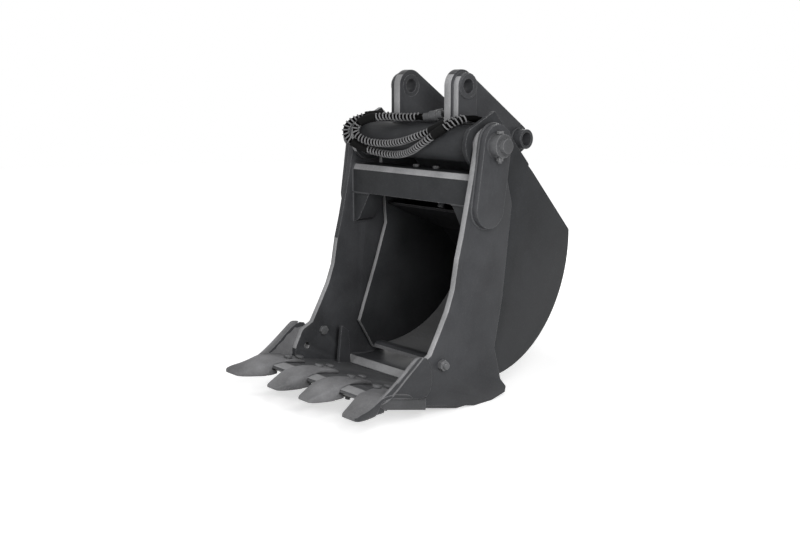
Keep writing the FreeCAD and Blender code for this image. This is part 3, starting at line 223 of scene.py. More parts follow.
black_paint = paint("satin_black_paint", (0.043, 0.044, 0.047), 0.40, wear=0.7)
# A darker copy of the black paint, as painted shade, for the shell's sides, the beam, the tube and the braces.
shaded_copy_of_black_paint = paint("satin_black_paint_in_painted_shade", (0.031, 0.032, 0.034), 0.46, wear=0.7, gloss=0.07)
# Lighter paint for the inside of the back: painted light, where light falls in through the mouth.
painted_light_back_paint = paint("painted_light_inside_the_back", (0.170, 0.170, 0.174), 0.40, wear=0.3, cloud=0.10)
# Pale paint for cut front edges that face forward and up: a painted highlight where the light from above and
# in front falls.
painted_highlight_paint = paint("painted_highlight_on_front_edges", (0.25, 0.25, 0.255), 0.42, cloud=0.25)
# Near-black paint for the inner cover: painted shade, where it lies deep behind the beam.
painted_shade_cover_paint = paint("painted_shade_behind_the_beam", (0.015, 0.015, 0.016), 0.55, gloss=0.04)
inner_paint = paint("paint_on_working_faces", (0.042, 0.043, 0.046), 0.40, wear=0.35)
weld_paint = paint("paint_over_weld", (0.052, 0.053, 0.056), 0.36, wear=0.2, peel=0.4)
tooth_paint = paint("paint_over_forging", (0.150, 0.150, 0.154), 0.50, wear=0.7, peel=0.9, cloud=0.36)
blade_paint = paint("paint_on_blade", (0.075, 0.076, 0.079), 0.45, wear=0.6)
bolt_paint = paint("paint_on_bolts", (0.100, 0.101, 0.104), 0.38, wear=0.8)
pin_paint = paint("paint_on_pins", (0.075, 0.076, 0.079), 0.38, wear=0.7)
print("paints:", len(bpy.data.materials))


# %% [markdown]
# Bare metal shows in only a few places: the turned bushes, the chromed rod and the seal inside the
# cylinder. Metal is the same recipe with metallic set to one and a noise pulled out along the lathe's cut.

# %% Bare metals and rubber
def metal(name, tone, rough, stretch, scratch=0.15):
    material, tree, shader = new_material(name, metallic=1.0)
    lines = noise(tree, 60.0, 4.0, 0.6, stretch)
    cloud = noise(tree, 18.0, 3.0)
    light = tuple(min(1.0, channel * 1.15) for channel in tone)
    dark = tuple(channel * 0.82 for channel in tone)
    tree.links.new(mix(tree, spread(tree, cloud, 0.0, 1.0), dark, light), shader.inputs["Base Color"])
    tree.links.new(spread(tree, lines, rough - 0.06, rough + 0.08), shader.inputs["Roughness"])
    bump(tree, shader, [(lines, scratch, 0.0002)])
    return material


def rubber(name, tone, rough, scale=420.0, height=0.0002, gloss=0.15):
    material, tree, shader = new_material(name)
    grain = noise(tree, scale, 3.0)
    cloud = noise(tree, 25.0, 4.0)
    light = tuple(channel * 1.35 for channel in tone)
    tree.links.new(mix(tree, spread(tree, cloud, 0.0, 1.0), tone, light), shader.inputs["Base Color"])
    tree.links.new(spread(tree, cloud, rough - 0.06, rough + 0.06), shader.inputs["Roughness"])
    bump(tree, shader, [(grain, 0.3, height)])
    shader.inputs["Specular IOR Level"].default_value = gloss
    return material


turned_steel = metal("turned_steel", (0.30, 0.30, 0.31), 0.42, (40.0, 1.0, 1.0))
hard_chrome = metal("hard_chrome", (0.78, 0.78, 0.80), 0.12, (1.0, 1.0, 30.0), 0.03)
seal_rubber = rubber("seal_rubber", (0.020, 0.020, 0.021), 0.55)
# Black rubber, darkened below its own tone as painted shade in the gaps between the guard's turns.
hose_rubber_and_gap_shade = rubber("hose_rubber_and_gap_shade", (0.002, 0.002, 0.002), 0.90, gloss=0.02)
# The guard's pale grey is a painted highlight: black gloss plastic paled so that its turns look lit.
guard_plastic_with_painted_sheen = rubber("guard_plastic_with_painted_sheen", (0.135, 0.135, 0.138), 0.34, 900.0, 0.00006)
tape_cloth = rubber("tape_cloth", (0.005, 0.005, 0.005), 0.70, 260.0, 0.0003, gloss=0.05)

# %% [markdown]
# ## Plates with real edges
# A flame-cut plate has no razor edge: the cut is ground by hand and the paint rounds it further. A
# shader could fake this, but a bevelled mesh also gives the model a true edge. The imported
# mesh is copied, its flat faces are joined again and a narrow bevel is applied. Cut front edges that
# face forward and up get a pale second material as a painted highlight, and the inside of the back
# gets a lighter one as painted light falling in through the mouth. Both are picked by the way that a
# face looks, so no list of faces is needed.

# %% Soften every plate
FINISH = {
    "black_paint": black_paint, "worn_paint": inner_paint, "forged_tooth": tooth_paint,
    "plated_fastener": bolt_paint, "pin_steel": pin_paint, "chromed_rod": hard_chrome, "seal": seal_rubber,
    "bush_steel": turned_steel, "hose_guard": hose_rubber_and_gap_shade,
}
SLOT_OF = {row["node"]: row["material_slot"] for row in frame["record"]["subparts"]}
BODY_OF = {node: body for body, members in frame["record"]["behaviour"]["bodies"].items() for node in members}
# The shell's sides, the beam, the tube and the braces take the darker copy of the black paint as painted
# shade, and the inner cover a still darker one.
SPECIAL = {
    "cutting_edge": blade_paint, "dipper_bush_right": black_paint, "dipper_bush_left": black_paint,
    "hose_couplings": pin_paint, "hose_elbows": pin_paint, "shell_side_left": shaded_copy_of_black_paint,
    "shell_side_right": shaded_copy_of_black_paint, "crossbeam": shaded_copy_of_black_paint, "hinge_tube": shaded_copy_of_black_paint,
    "corner_brace_left": shaded_copy_of_black_paint, "corner_brace_right": shaded_copy_of_black_paint, "inner_cover": painted_shade_cover_paint,
}
# Plates with faces painted pale as a painted highlight, where light from above and in front falls: how far a
# face has to look forward and up to count
HIGHLIGHT_FACING = {
    "jaw_side_left": (0.25, 0.12), "jaw_side_right": (0.25, 0.12), "shell_side_left": (0.25, -0.6),
    "crossbeam": (0.30, 0.30), "jaw_floor": (0.30, 0.30), "cutting_edge": (0.04, 0.90),
    "ear_left": (0.70, -0.2), "ear_right": (0.70, -0.2), "ear_pad_right": (0.70, -0.2),
}
# A face that looks further to the side than SIDEWAYS gets no pale paint; above DARK_ABOVE the jaw's left edge
# is kept without the painted highlight, as it lies in shade.
SIDEWAYS = 0.3  # a face that looks further to the side than this isn't rubbed
DARK_ABOVE = -0.50  # higher than this, in metres, the jaw's left edge stays dark
WRAPPER_CENTRE = at(0.0, 60.0, -345.0)
FLAT, SHARP = math.radians(0.5), math.radians(28)


def bodies_of(shape):
    """Vertices of each closed body in a mesh."""
    left = set(shape.verts)
    while left:
        waiting, body = [left.pop()], []
        while waiting:
            vertex = waiting.pop()
            body.append(vertex)
            for edge in vertex.link_edges:
                other = edge.other_vert(vertex)
                if other in left:
                    left.remove(other)
                    waiting.append(other)
        yield body


def softened(node, width, material, name=None, nearer=None):
    """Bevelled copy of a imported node; nearer=(here, there) keeps only the bodies that lie nearer to here."""
    source = nodes[node]
    name = name or node + "_dressed"
    shape = bmesh.new()
    shape.from_mesh(source.data)
    bmesh.ops.remove_doubles(shape, verts=shape.verts, dist=2e-6)
    bmesh.ops.dissolve_limit(shape, angle_limit=FLAT, verts=shape.verts, edges=shape.edges)
    if nearer is not None:
        for body in list(bodies_of(shape)):
            centre = sum((vertex.co for vertex in body), Vector()) / len(body)
            if (centre - nearer[0]).length > (centre - nearer[1]).length:
                bmesh.ops.delete(shape, geom=body, context="VERTS")
    mesh = bpy.data.meshes.new(name)
    shape.to_mesh(mesh)
    shape.free()
    mesh.polygons.foreach_set("use_smooth", [True] * len(mesh.polygons))
    piece = bpy.data.objects.new(name, mesh)
    bpy.context.scene.collection.objects.link(piece)
    bevel = piece.modifiers.new("edge", "BEVEL")
    bevel.width = width
    bevel.segments = 2
    bevel.limit_method = "ANGLE"
    bevel.angle_limit = SHARP
    bevel.harden_normals = True
    mesh.materials.clear()
    mesh.materials.append(material)
    # Faces that look forward and up get the pale paint as a painted highlight.
    if node in HIGHLIGHT_FACING:
        forward, upward = HIGHLIGHT_FACING[node]
        mesh.materials.append(painted_highlight_paint)
        for face in mesh.polygons:
            shaded = node == "jaw_side_left" and face.center.z > DARK_ABOVE
            looks_out = -face.normal.y > forward and face.normal.z > upward
            if looks_out and abs(face.normal.x) < SIDEWAYS and not shaded:
                face.material_index = 1
    # The inside of the back gets the lighter paint as painted light.
    if node == "back_wrapper":
        mesh.materials.append(painted_light_back_paint)
        for face in mesh.polygons:
            if face.normal.dot(WRAPPER_CENTRE - face.center) > 0.0 and abs(face.normal.x) < SIDEWAYS:
                face.material_index = 1
    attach(piece, BODY_OF[node])
    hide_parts(node)
    return piece


# Width of the bevel for each finish; the teeth, hoses, rod and seal get none, and the couplings come later
EDGE = {"black_paint": 0.0012, "worn_paint": 0.0012, "plated_fastener": 0.0006, "pin_steel": 0.0010,
        "bush_steel": 0.0008}
dressed = []
for node, slot_name in sorted(SLOT_OF.items()):
    nodes[node].data.materials.clear()
    nodes[node].data.materials.append(SPECIAL.get(node, FINISH[slot_name]))
    if slot_name in EDGE and node != "hose_couplings":
        dressed.append(softened(node, EDGE[slot_name], SPECIAL.get(node, FINISH[slot_name])))
print("softened plates:", len(dressed))
# This counts the faces given the painted highlight or the painted light inside the back.
print("rubbed faces:", sum(face.material_index for piece in dressed for face in piece.data.polygons))


# %% [markdown]
# ## Forged teeth
# A tooth is forged in one piece: a blunt tip, a crowned back that swells towards the blade, a flat leg
# that bolts down on it and a short lip below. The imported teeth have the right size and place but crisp
# milled sides. Rings drawn across the tooth, joined and subdivided once, give the soft drawn-out form.

# %% Rings across a tooth
NOSE = (-455.0, -702.39)
RISE = math.radians(12.8)


def on_blade(x, along, above):
    """Millimetres across, back from the blade's nose and up from its face, to the frame's metres."""
    return at(x, NOSE[0] + along * math.cos(RISE) + above * math.sin(RISE),
              NOSE[1] - along * math.sin(RISE) + above * math.cos(RISE))


def tooth_ring(along, first, second, crest, first_edge, second_edge, bottom, side, across=12):
    """One closed ring: a crowned top between two edges, straight flanks and a flat underside."""
    ring_points = []
    for index in range(across + 1):
        share = index / across
        edge = first_edge + (second_edge - first_edge) * share
        crown = 1.0 - abs(2.0 * share - 1.0) ** 1.7
        ring_points.append((first + (second - first) * share, edge + (crest - edge) * crown))
    for share in (0.35, 0.75):
        ring_points.append((second, second_edge + (bottom - second_edge) * share))
    for index in range(across // 2 + 1):
        share = index / (across // 2)
        ring_points.append((second + (first - second) * (0.04 + 0.92 * share), bottom))
    for share in (0.75, 0.35):
        ring_points.append((first, first_edge + (bottom - first_edge) * share))
    return [on_blade(side * x, along, above) for x, above in ring_points]


def loft(rings):
    points = [point for ring_points in rings for point in ring_points]
    count = len(rings[0])
    faces = []
    for index in range(len(rings) - 1):
        for step in range(count):
            following = (step + 1) % count
            here, there = index * count, (index + 1) * count
            faces.append((here + step, there + step, there + following, here + following))
    faces.append(tuple(range(count)))
    faces.append(tuple(range(len(points) - 1, len(points) - 1 - count, -1)))
    return points, faces


# Each row: back from the nose, two edges across, crest, height at each edge, underside
CENTRE_TOOTH = [
    (-94, -25, 25, -50, -52, -52, -59), (-90, -28, 28, -46, -49, -49, -61),
    (-75, -33, 33, -34, -40, -40, -61),
    (-55, -41, 41, -19, -29, -29, -58), (-35, -46, 46, -5, -17, -17, -55), (-15, -49, 49, 6, -8, -8, -52),
    (-1, -50, 50, 12, -4, -4, -50), (0, -50, 50, 12.5, -4, -4, -12), (20, -49, 49, 16, 1, 1, -5.7),
    (38, -45, 45, 17.5, 4, 4, 0), (60, -37, 37, 16.5, 9, 9, 0), (80, -32, 32, 15.5, 13, 13, 0),
    (126, -30, 30, 15.5, 13, 13, 0), (142, -28, 28, 12, 9, 9, 0), (150, -26, 26, 5, 3, 3, 0),
]
CORNER_TOOTH = [
    (-100, 268, 331, -50, -53, -51, -60), (-95, 264, 333, -46, -50, -46, -62),
    (-80, 256, 332, -35, -43, -38, -62), (-60, 246, 329, -23, -33, -32, -60),
    (-40, 236, 325, -11, -22, -24, -57), (-20, 225, 320, 1, -12, -12, -54),
    (-1, 215, 316, 8, -5, 0, -51), (0, 215, 316, 8.5, -5, 0, -12), (20, 213, 314, 13, 0, 8, -5.7),
    (40, 210, 313, 15.5, 4, 12, 0), (62, 206, 312, 15.5, 13, 13, 0), (108, 206, 312, 15.5, 13, 13, 0),
    (124, 210, 312, 13, 9, 10, 0), (134, 214, 311, 5, 3, 4, 0),
]
LIP = [(-8, -30, -51), (0, -21, -50), (20, -28.5, -46), (38, -35, -40)]


def lip_rings(first, second, side):
    return [tooth_ring(along, first, second, top, top, top, low, side) for along, top, low in LIP]


def forged(name, node, parts):
    points, faces = [], []
    for part_points, part_faces in parts:
        faces += [tuple(index + len(points) for index in face) for face in part_faces]
        points += part_points
    piece = add_mesh(name, points, faces, "jaw", tooth_paint)
    piece.data.materials.append(black_paint)
    shape = bmesh.new()
    shape.from_mesh(piece.data)
    bmesh.ops.recalc_face_normals(shape, faces=shape.faces)
    shape.to_mesh(piece.data)
    shape.free()
    subdivision = piece.modifiers.new("forging", "SUBSURF")
    subdivision.levels = 1
    subdivision.render_levels = 1
    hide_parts(node)
    return piece


for node, middle in (("centre_tooth_1", -80.5), ("centre_tooth_2", 80.5)):
    rings = [tooth_ring(row[0], middle + row[1], middle + row[2], *row[3:], 1) for row in CENTRE_TOOTH]
    forged(node + "_forging", node, [loft(rings), loft(lip_rings(middle - 42, middle + 42, 1))])

# %% [markdown]
# The corner teeth lean outwards and carry an upright wing that cuts the side of the trench clear of the
# jaw's plates. It is a hollow-faced rib on a flat plate that lies on the jaw's side. Both are lofted like
# the tooth and kept in its mesh. The plate keeps the black paint of the jaw's side, and the tooth's faces
# that look outwards get it too, as painted shade.

# %% Wings
# Front and rear edge of the wing's rib, each (y, z) from the hinge axis, from the tooth up to its top
WING = [
    ((-520, -722), (-440, -722)), ((-470, -709), (-418, -712)), ((-440, -693), (-400, -700)),
    ((-423, -683), (-380, -687)), ((-400, -668), (-362, -672)), ((-376, -651), (-342, -656)),
    ((-345, -628), (-310, -634)), ((-322, -611), (-288, -616)), ((-312, -606), (-280, -611)),
]
# The wing's plate, which lies on the jaw's side and covers the spare hole in it
WING_PLATE = [(-262, -612), (-300, -615), (-340, -642), (-385, -682), (-436, -708), (-420, -714),
              (-330, -732), (-252, -748), (-240, -700), (-243, -650)]
PLATE_X = (300.4, 300.8, 303.4, 303.8)
PLATE_FACES = (len(PLATE_X) - 1) * len(WING_PLATE) + 2
# On the tooth's outward faces the black paint is painted shade; on the plate it is the side's own paint.
OUTWARD_SHADE_FACE, PLATE_BACK = 0.75, -0.9  # sideways part of the normal from which a face is black


def wing_ring(front, rear, side):
    """Ring round the rib: bevelled front edge, hollow outer face, a low lip behind, flat inner face."""
    plan = [(0.0, 303.0), (0.03, 309.0), (0.17, 314.0), (0.30, 311.0), (0.84, 311.0), (0.95, 314.0),
            (1.03, 311.0), (1.0, 301.0), (0.5, 301.0)]
    return [at(side * x, front[0] + (rear[0] - front[0]) * share, front[1] + (rear[1] - front[1]) * share)
            for share, x in plan]


for node, side in (("corner_tooth_left", -1), ("corner_tooth_right", 1)):
    rings = [tooth_ring(*row, side) for row in CORNER_TOOTH]
    wing = [wing_ring(front, rear, side) for front, rear in WING]
    plate = [[at(side * x, y, z) for y, z in WING_PLATE] for x in PLATE_X]
    lip = lip_rings(222, 306, side)
    piece = forged(node + "_forging", node, [loft(rings), loft(lip), loft(wing), loft(plate)])
    for face in piece.data.polygons:
        on_plate = face.index >= len(piece.data.polygons) - PLATE_FACES
        sideways = side * face.normal.x
        if sideways > OUTWARD_SHADE_FACE or on_plate and sideways > PLATE_BACK:
            face.material_index = 1
    print(node, "faces:", len(piece.data.polygons))

# %% [markdown]
# ## Weld beads
# Each joint between plates carries a hand-laid bead. Seen close, a bead is a row of overlapping
# ripples, one for each time the welder paused. A tube that follows the joint, with its radius pulsing
# a few times per centimetre, gives that at little cost.

# %% Bead maker
def resample(points, step, closed):
    chain = list(points) + ([points[0]] if closed else [])
    lengths = [0.0]
    for first, second in zip(chain, chain[1:]):
        lengths.append(lengths[-1] + (second - first).length)
    count = max(2, round(lengths[-1] / step))
    result = []
    cursor = 0
    for index in range(count + (0 if closed else 1)):
        goal = lengths[-1] * index / count
        while cursor < len(lengths) - 2 and lengths[cursor + 1] < goal:
            cursor += 1
        span = lengths[cursor + 1] - lengths[cursor]
        share = 0.0 if span < 1e-9 else (goal - lengths[cursor]) / span
        result.append(chain[cursor].lerp(chain[cursor + 1], share))
    return result


def bead_mesh(routes, radius, seed, pitch=0.0048, sides=7):
    """Points and faces of rippled tubes along several routes, each (points, closed)."""
    dice = random.Random(seed)
    points, faces = [], []
    for route, closed in routes:
        chain = resample(route, pitch / 3.0, closed)
        total = len(chain)
        base = len(points)
        phase = dice.random()
        across = None
        for index, centre in enumerate(chain):
            ahead = chain[(index + 1) % total] if closed or index < total - 1 else centre
            behind = chain[index - 1] if closed or index > 0 else centre
            along = (ahead - behind).normalized()
            if across is None:
                helper = Vector((0, 0, 1)) if abs(along.z) < 0.8 else Vector((1, 0, 0))
                across = along.cross(helper).normalized()
            across = (across - along * across.dot(along)).normalized()
            up = along.cross(across)
            ripple = (index / 3.0 + phase) % 1.0
            swell = radius * (0.84 + 0.24 * math.sin(math.pi * ripple) + dice.uniform(-0.05, 0.05))
            if not closed and index in (0, total - 1):
                swell *= 0.35
            drift = (across * dice.uniform(-1, 1) + up * dice.uniform(-1, 1)) * radius * 0.06
            for side in range(sides):
                turn = 2 * math.pi * side / sides
                points.append(centre + drift + (across * math.cos(turn) + up * math.sin(turn)) * swell)
        rings = total if closed else total - 1
        for index in range(rings):
            here = base + index * sides
            there = base + ((index + 1) % total) * sides
            for side in range(sides):
                step = (side + 1) % sides
                faces.append((here + side, here + step, there + step, there + side))
        if not closed:
            faces.append(tuple(base + side for side in range(sides - 1, -1, -1)))
            faces.append(tuple(base + (total - 1) * sides + side for side in range(sides)))
    return points, faces


BEADS = []


def bead(name, body, routes, radius=0.0042):
    points, faces = bead_mesh(routes, radius, seed=len(BEADS) + 7)
    piece = add_mesh(name, points, faces, body, weld_paint)
    BEADS.append(piece)
    return piece


# %% Beads on the ears
def ring(x, centre, radius):
    return arc(x, centre, radius, 0.0, 345.0, 22), True


routes = []
for side in (-1, 1):
    routes.append(ring(side * (PAD_OUT + 0.5), DIPPER, 38.0))
    routes.append(ring(side * (EAR_OUT + 0.5), LINK, 35.0))
bead("welds_round_ear_bushes", "shell", routes, 0.0036)

routes = []
for side in (-1, 1):
    x = side * EAR_OUT
    half = 42.0
    outline = [at(x, DIPPER[0] - half, 66.0)]
    outline += arc(x, DIPPER, half, 180.0, 0.0)
    outline += [at(x, DIPPER[0] + half, 66.0)]
    outline += [at(x, DIPPER[0] - half, 65.0)]
    routes.append((outline, False))
bead("welds_round_ear_pads", "shell", routes, 0.0036)


def deck_height(y):
    """Top of the folded deck, from its front end to the rear corner."""
    if y < 128.0:
        return 62.0 + (y - 25.0) * (8.0 - 62.0) / (128.0 - 25.0)
    return 8.0 + (y - 128.0) * (-310.0 - 8.0) / (465.0 - 128.0)


routes = []
for side in (-1, 1):
    for x in (side * EAR_IN, side * EAR_OUT):
        foot = arc(x, (0.0, 0.0), TUBE, 94.0, 66.0, 6)
        foot += [at(x, 27.0, deck_height(27.0)), at(x, 128.0, 8.0), at(x, 214.0, deck_height(214.0))]
        routes.append((foot, False))
    routes.append(([at(side * EAR_IN, -3.0, TUBE), at(side * EAR_OUT, -3.0, TUBE)], False))
bead("welds_at_ear_feet", "shell", routes, 0.0044)

# %% Beads on the shell
routes = []
for side in (-1, 1):
    x = side * SHELL_IN
    routes.append(([at(x, 27.0, 62.0), at(x, 128.0, 8.0), at(x, 218.0, deck_height(218.0))], False))
    routes.append((arc(x, (0.0, 0.0), TUBE, 66.0, 290.0, 40), False))
bead("welds_inside_shell_sides", "shell", routes, 0.0042)
routes = [([at(-SHELL_IN, 25.0, 61.0), at(SHELL_IN, 25.0, 61.0)], False)]
bead("weld_between_tube_and_deck", "shell", routes, 0.0044)

# %% Beads on the jaw
CHEEK_LENGTH, CHEEK_RADIUS = 199.0, 60.0
cheek_lean = math.radians(8.7)
cheek_top = (12.0, 4.0)
cheek_low = (cheek_top[0] - CHEEK_LENGTH * math.sin(cheek_lean),
             cheek_top[1] - CHEEK_LENGTH * math.cos(cheek_lean))
routes = []
for side in (-1, 1):
    x = side * JAW_OUT
    outline = arc(x, cheek_top, CHEEK_RADIUS, -8.7, 171.3, 30)
    outline += arc(x, cheek_low, CHEEK_RADIUS, 171.3, 351.3, 30)
    routes.append((outline, True))
bead("welds_round_cheeks", "jaw", routes, 0.0052)
routes = []
for side in (-1, 1):
    routes.append(ring(side * CHEEK_OUT, (0.0, 0.0), 36.5))
bead("welds_round_collars", "jaw", routes, 0.0026)
routes = []
for side in (-1, 1):
    x = side * JAW_IN
    over_the_beam = [(-60.0, -184.0), (-60.0, -106.0), (-50.0, -88.0), (36.0, -88.0)]
    routes.append(([at(x, y, z) for y, z in over_the_beam], False))
    routes.append(([at(x, -58.0, -186.0), at(side * (JAW_IN - 84.0), -58.0, -186.0)], False))
    routes.append(([at(x, -58.0, -186.0), at(x, -58.0, -289.0), at(x, 15.0, -289.0)], False))
bead("welds_round_beam", "jaw", routes, 0.0042)

FLOOR = -781.0
BLADE_END = -109.0


def blade_height(y):
    """Top of the blade, which drops forward from the end of the floor."""
    return FLOOR - math.tan(RISE) * (y - BLADE_END)


routes = []
for side in (-1, 1):
    x = side * JAW_IN
    routes.append(([at(x, -305.0, blade_height(-305.0)), at(x, -112.0, blade_height(-112.0))], False))
    routes.append(([at(x, -76.0, FLOOR + 20.0), at(x, -8.0, FLOOR + 11.0), at(x, 84.0, FLOOR + 11.0)], False))
    routes.append(([at(side * JAW_OUT, y, blade_height(y)) for y in (-296.0, -268.0)], False))
    for guide_face in (237.0, 251.0):
        routes.append(([at(side * guide_face, y, blade_height(y)) for y in (-164.0, -114.0)], False))
routes.append(([at(-JAW_IN, -109.5, FLOOR), at(JAW_IN, -109.5, FLOOR)], False))
bead("welds_on_blade", "jaw", routes, 0.0040)
print("bead pieces:", len(BEADS), "faces:", sum(len(piece.data.polygons) for piece in BEADS))

# %% [markdown]
# ## Hoses
# Two pressure hoses feed the cylinder. They rise from elbows on the deck, loop over the tube and end in
# plugged couplings, waiting for the machine. A mesh tube would show its corners, so the hose is a NURBS
# curve guided by given points, and what is wound on it follows points read from that curve.

# %% Hose lines
HOSE_ROUTES = {
    "hose_outer": [
        (232, 68, 62), (231, 32, 76), (221, -10, 82), (190, -52, 66), (140, -82, 28), (72, -80, -10),
        (0, -62, -38), (-75, -54, -48), (-148, -61, -44), (-208, -77, -27), (-241, -110, -4),
        (-245, -124, 26), (-234, -114, 56), (-204, -80, 76), (-155, -40, 82), (-98, -20, 76),
        (-38, -4, 75), (18, 20, 82),
    ],
    "hose_inner": [
        (202, 68, 62), (200, 32, 76), (188, -8, 80), (158, -42, 64), (112, -64, 38), (58, -74, 20),
        (0, -74, 3), (-66, -73, -9), (-126, -77, -11), (-178, -92, -5), (-207, -108, 16), (-209, -108, 44),
        (-180, -88, 68), (-128, -62, 77), (-72, -46, 76), (-25, -30, 75), (20, -8, 76),
    ],
}
HOSE_RADIUS = 0.0084
GUARD_RADIUS = 0.0128


def hose_curve(name, route):
    curve = bpy.data.curves.new(name, "CURVE")
    curve.dimensions = "3D"
    spline = curve.splines.new("NURBS")
    spline.points.add(len(route) - 1)
    for point, place in zip(spline.points, route):
        point.co = (*at(*place), 1.0)
    spline.order_u = 3
    spline.use_endpoint_u = True
    spline.resolution_u = 12
    hose = bpy.data.objects.new(name, curve)
    bpy.context.scene.collection.objects.link(hose)
    return hose


def line_of(hose):
    """Points along the curve, read before it gets its thickness."""
    mesh = bpy.data.meshes.new_from_object(hose)
    line = [vertex.co.copy() for vertex in mesh.vertices]
    bpy.data.meshes.remove(mesh)
    return line


# %% [markdown]
# A plastic spiral is wound on each hose against rubbing. A texture would stay flat where the light grazes
# it, so the spiral is a real strip with a crowned section, turned once for each pitch along the line.

# %% Spiral guards
GUARD_START, GUARD_END = 0.09, 0.965  # shares of the hose's length between which the guard lies


def guard_mesh(line, start, end, pitch=0.0128, width=0.0050, thick=0.0038, per_turn=16):
    """Strip wound round a line between two shares of its length."""
    chain = resample(line, pitch / per_turn, False)
    chain = chain[int(len(chain) * start):int(len(chain) * end)]
    profile = [(-0.50, 0.0), (-0.42, 0.75), (-0.16, 1.0), (0.16, 1.0), (0.42, 0.75), (0.50, 0.0)]
    points, faces = [], []
    across = None
    for index in range(1, len(chain) - 1):
        along = (chain[index + 1] - chain[index - 1]).normalized()
        if across is None:
            across = along.cross(Vector((0, 0, 1))).normalized()
        across = (across - along * across.dot(along)).normalized()
        up = along.cross(across)
        turn = 2 * math.pi * index / per_turn
        outward = across * math.cos(turn) + up * math.sin(turn)
        for share, lift in profile:
            reach = GUARD_RADIUS - thick + thick * lift
            points.append(chain[index] + along * (share * width) + outward * reach)
    count = len(profile)
    rings = len(points) // count
    for index in range(rings - 1):
        for side in range(count):
            step = (side + 1) % count
            here, there = index * count, (index + 1) * count
            faces.append((here + side, here + step, there + step, there + side))
    faces.append(tuple(range(count - 1, -1, -1)))
    faces.append(tuple(range((rings - 1) * count, rings * count)))
    return points, faces


lines = {}
for name, route in HOSE_ROUTES.items():
    hose = hose_curve(name + "_line", route)
    lines[name] = line_of(hose)
    hose.data.bevel_depth = HOSE_RADIUS
    hose.data.bevel_resolution = 5
    hose.data.use_fill_caps = True
    hose.data.materials.append(hose_rubber_and_gap_shade)
    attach(hose, "shell")
    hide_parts(name)
    points, faces = guard_mesh(lines[name], GUARD_START, GUARD_END)
    add_mesh(name + "_guard", points, faces, "shell", guard_plastic_with_painted_sheen)
    length = sum((b - a).length for a, b in zip(lines[name], lines[name][1:]))
    print(name, "length m:", round(length, 3))

# %% [markdown]
# Bands of cloth tape are lapped round the guards near the bends. A smooth sleeve would look like a
# pipe, so the radius falls a little over each lap and jumps where the next one starts.

# %% Tape
TAPE_STEP, TAPE_SIDES = 0.0016, 20


def tape_mesh(line, inside, radius=0.0142, lap=0.011, sides=TAPE_SIDES):
    """Sleeve of lapped tape round the stretch of a line whose points lie inside a box in millimetres."""
    low, high = at(*inside[0]), at(*inside[1])
    chain = [point for point in resample(line, TAPE_STEP, False)
             if all(low[axis] <= point[axis] <= high[axis] for axis in range(3))]
    points, faces = [], []
    across = None
    for index, centre in enumerate(chain):
        along = (chain[min(index + 1, len(chain) - 1)] - chain[max(index - 1, 0)]).normalized()
        if across is None:
            across = along.cross(Vector((0, 0, 1))).normalized()
        across = (across - along * across.dot(along)).normalized()
        up = along.cross(across)
        for side in range(sides):
            turn = 2 * math.pi * side / sides
            step = (index * TAPE_STEP / lap + side / sides) % 1.0
            swell = radius + 0.0007 * (1.0 - step)
            points.append(centre + (across * math.cos(turn) + up * math.sin(turn)) * swell)
    for index in range(len(chain) - 1):
        for side in range(sides):
            step = (side + 1) % sides
            here, there = index * sides, (index + 1) * sides
            faces.append((here + side, here + step, there + step, there + side))
    faces.append(tuple(range(sides - 1, -1, -1)))
    faces.append(tuple(range((len(chain) - 1) * sides, len(chain) * sides)))
    return points, faces


TAPE = {
    "hose_outer_tape_low": ("hose_outer", ((-245, -120, -60), (-186, -40, -8))),
    "hose_outer_tape_high": ("hose_outer", ((-196, -90, 60), (-142, -20, 100))),
    "hose_inner_tape_high": ("hose_inner", ((-196, -100, 55), (-146, -50, 100))),
    "hose_inner_tape_right": ("hose_inner", ((104, -80, 20), (150, -30, 70))),
    "hose_outer_tape_right": ("hose_outer", ((134, -95, 0), (170, -50, 50))),
}
tapes = {"hose_outer": [], "hose_inner": []}
for name, (hose_name, inside) in TAPE.items():
    points, faces = tape_mesh(lines[hose_name], inside)
    tapes[hose_name].append(add_mesh(name, points, faces, "shell", tape_cloth))
    print(name, "rings:", len(points) // TAPE_SIDES)

# %% [markdown]
# Each hose ends in a coupling with its plug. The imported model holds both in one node, while each hose
# needs its own, so the node is copied twice and each copy keeps the bodies nearest to its hose's end.

# %% Couplings
ENDS = {name: at(*route[-1]) for name, route in HOSE_ROUTES.items()}
couplings = {}
for name, other in (("hose_outer", "hose_inner"), ("hose_inner", "hose_outer")):
    couplings[name] = softened("hose_couplings", EDGE[SLOT_OF["hose_couplings"]], pin_paint,
                               name + "_coupling", (ENDS[name], ENDS[other]))
    print(name, "coupling faces:", len(couplings[name].data.polygons))

# %% Hose start points
at(*HOSE_ROUTES["hose_outer"][0])
at(*HOSE_ROUTES["hose_inner"][0])

# %% [markdown]
# ## Studio
# The photograph is cut out on white. The floor and the world show pure white to the camera by Light
# Path, while the steel is lit by lamps alone. A white backdrop lit from the lamps would need far more
# light than the paint stands, so the white comes from what the camera sees.

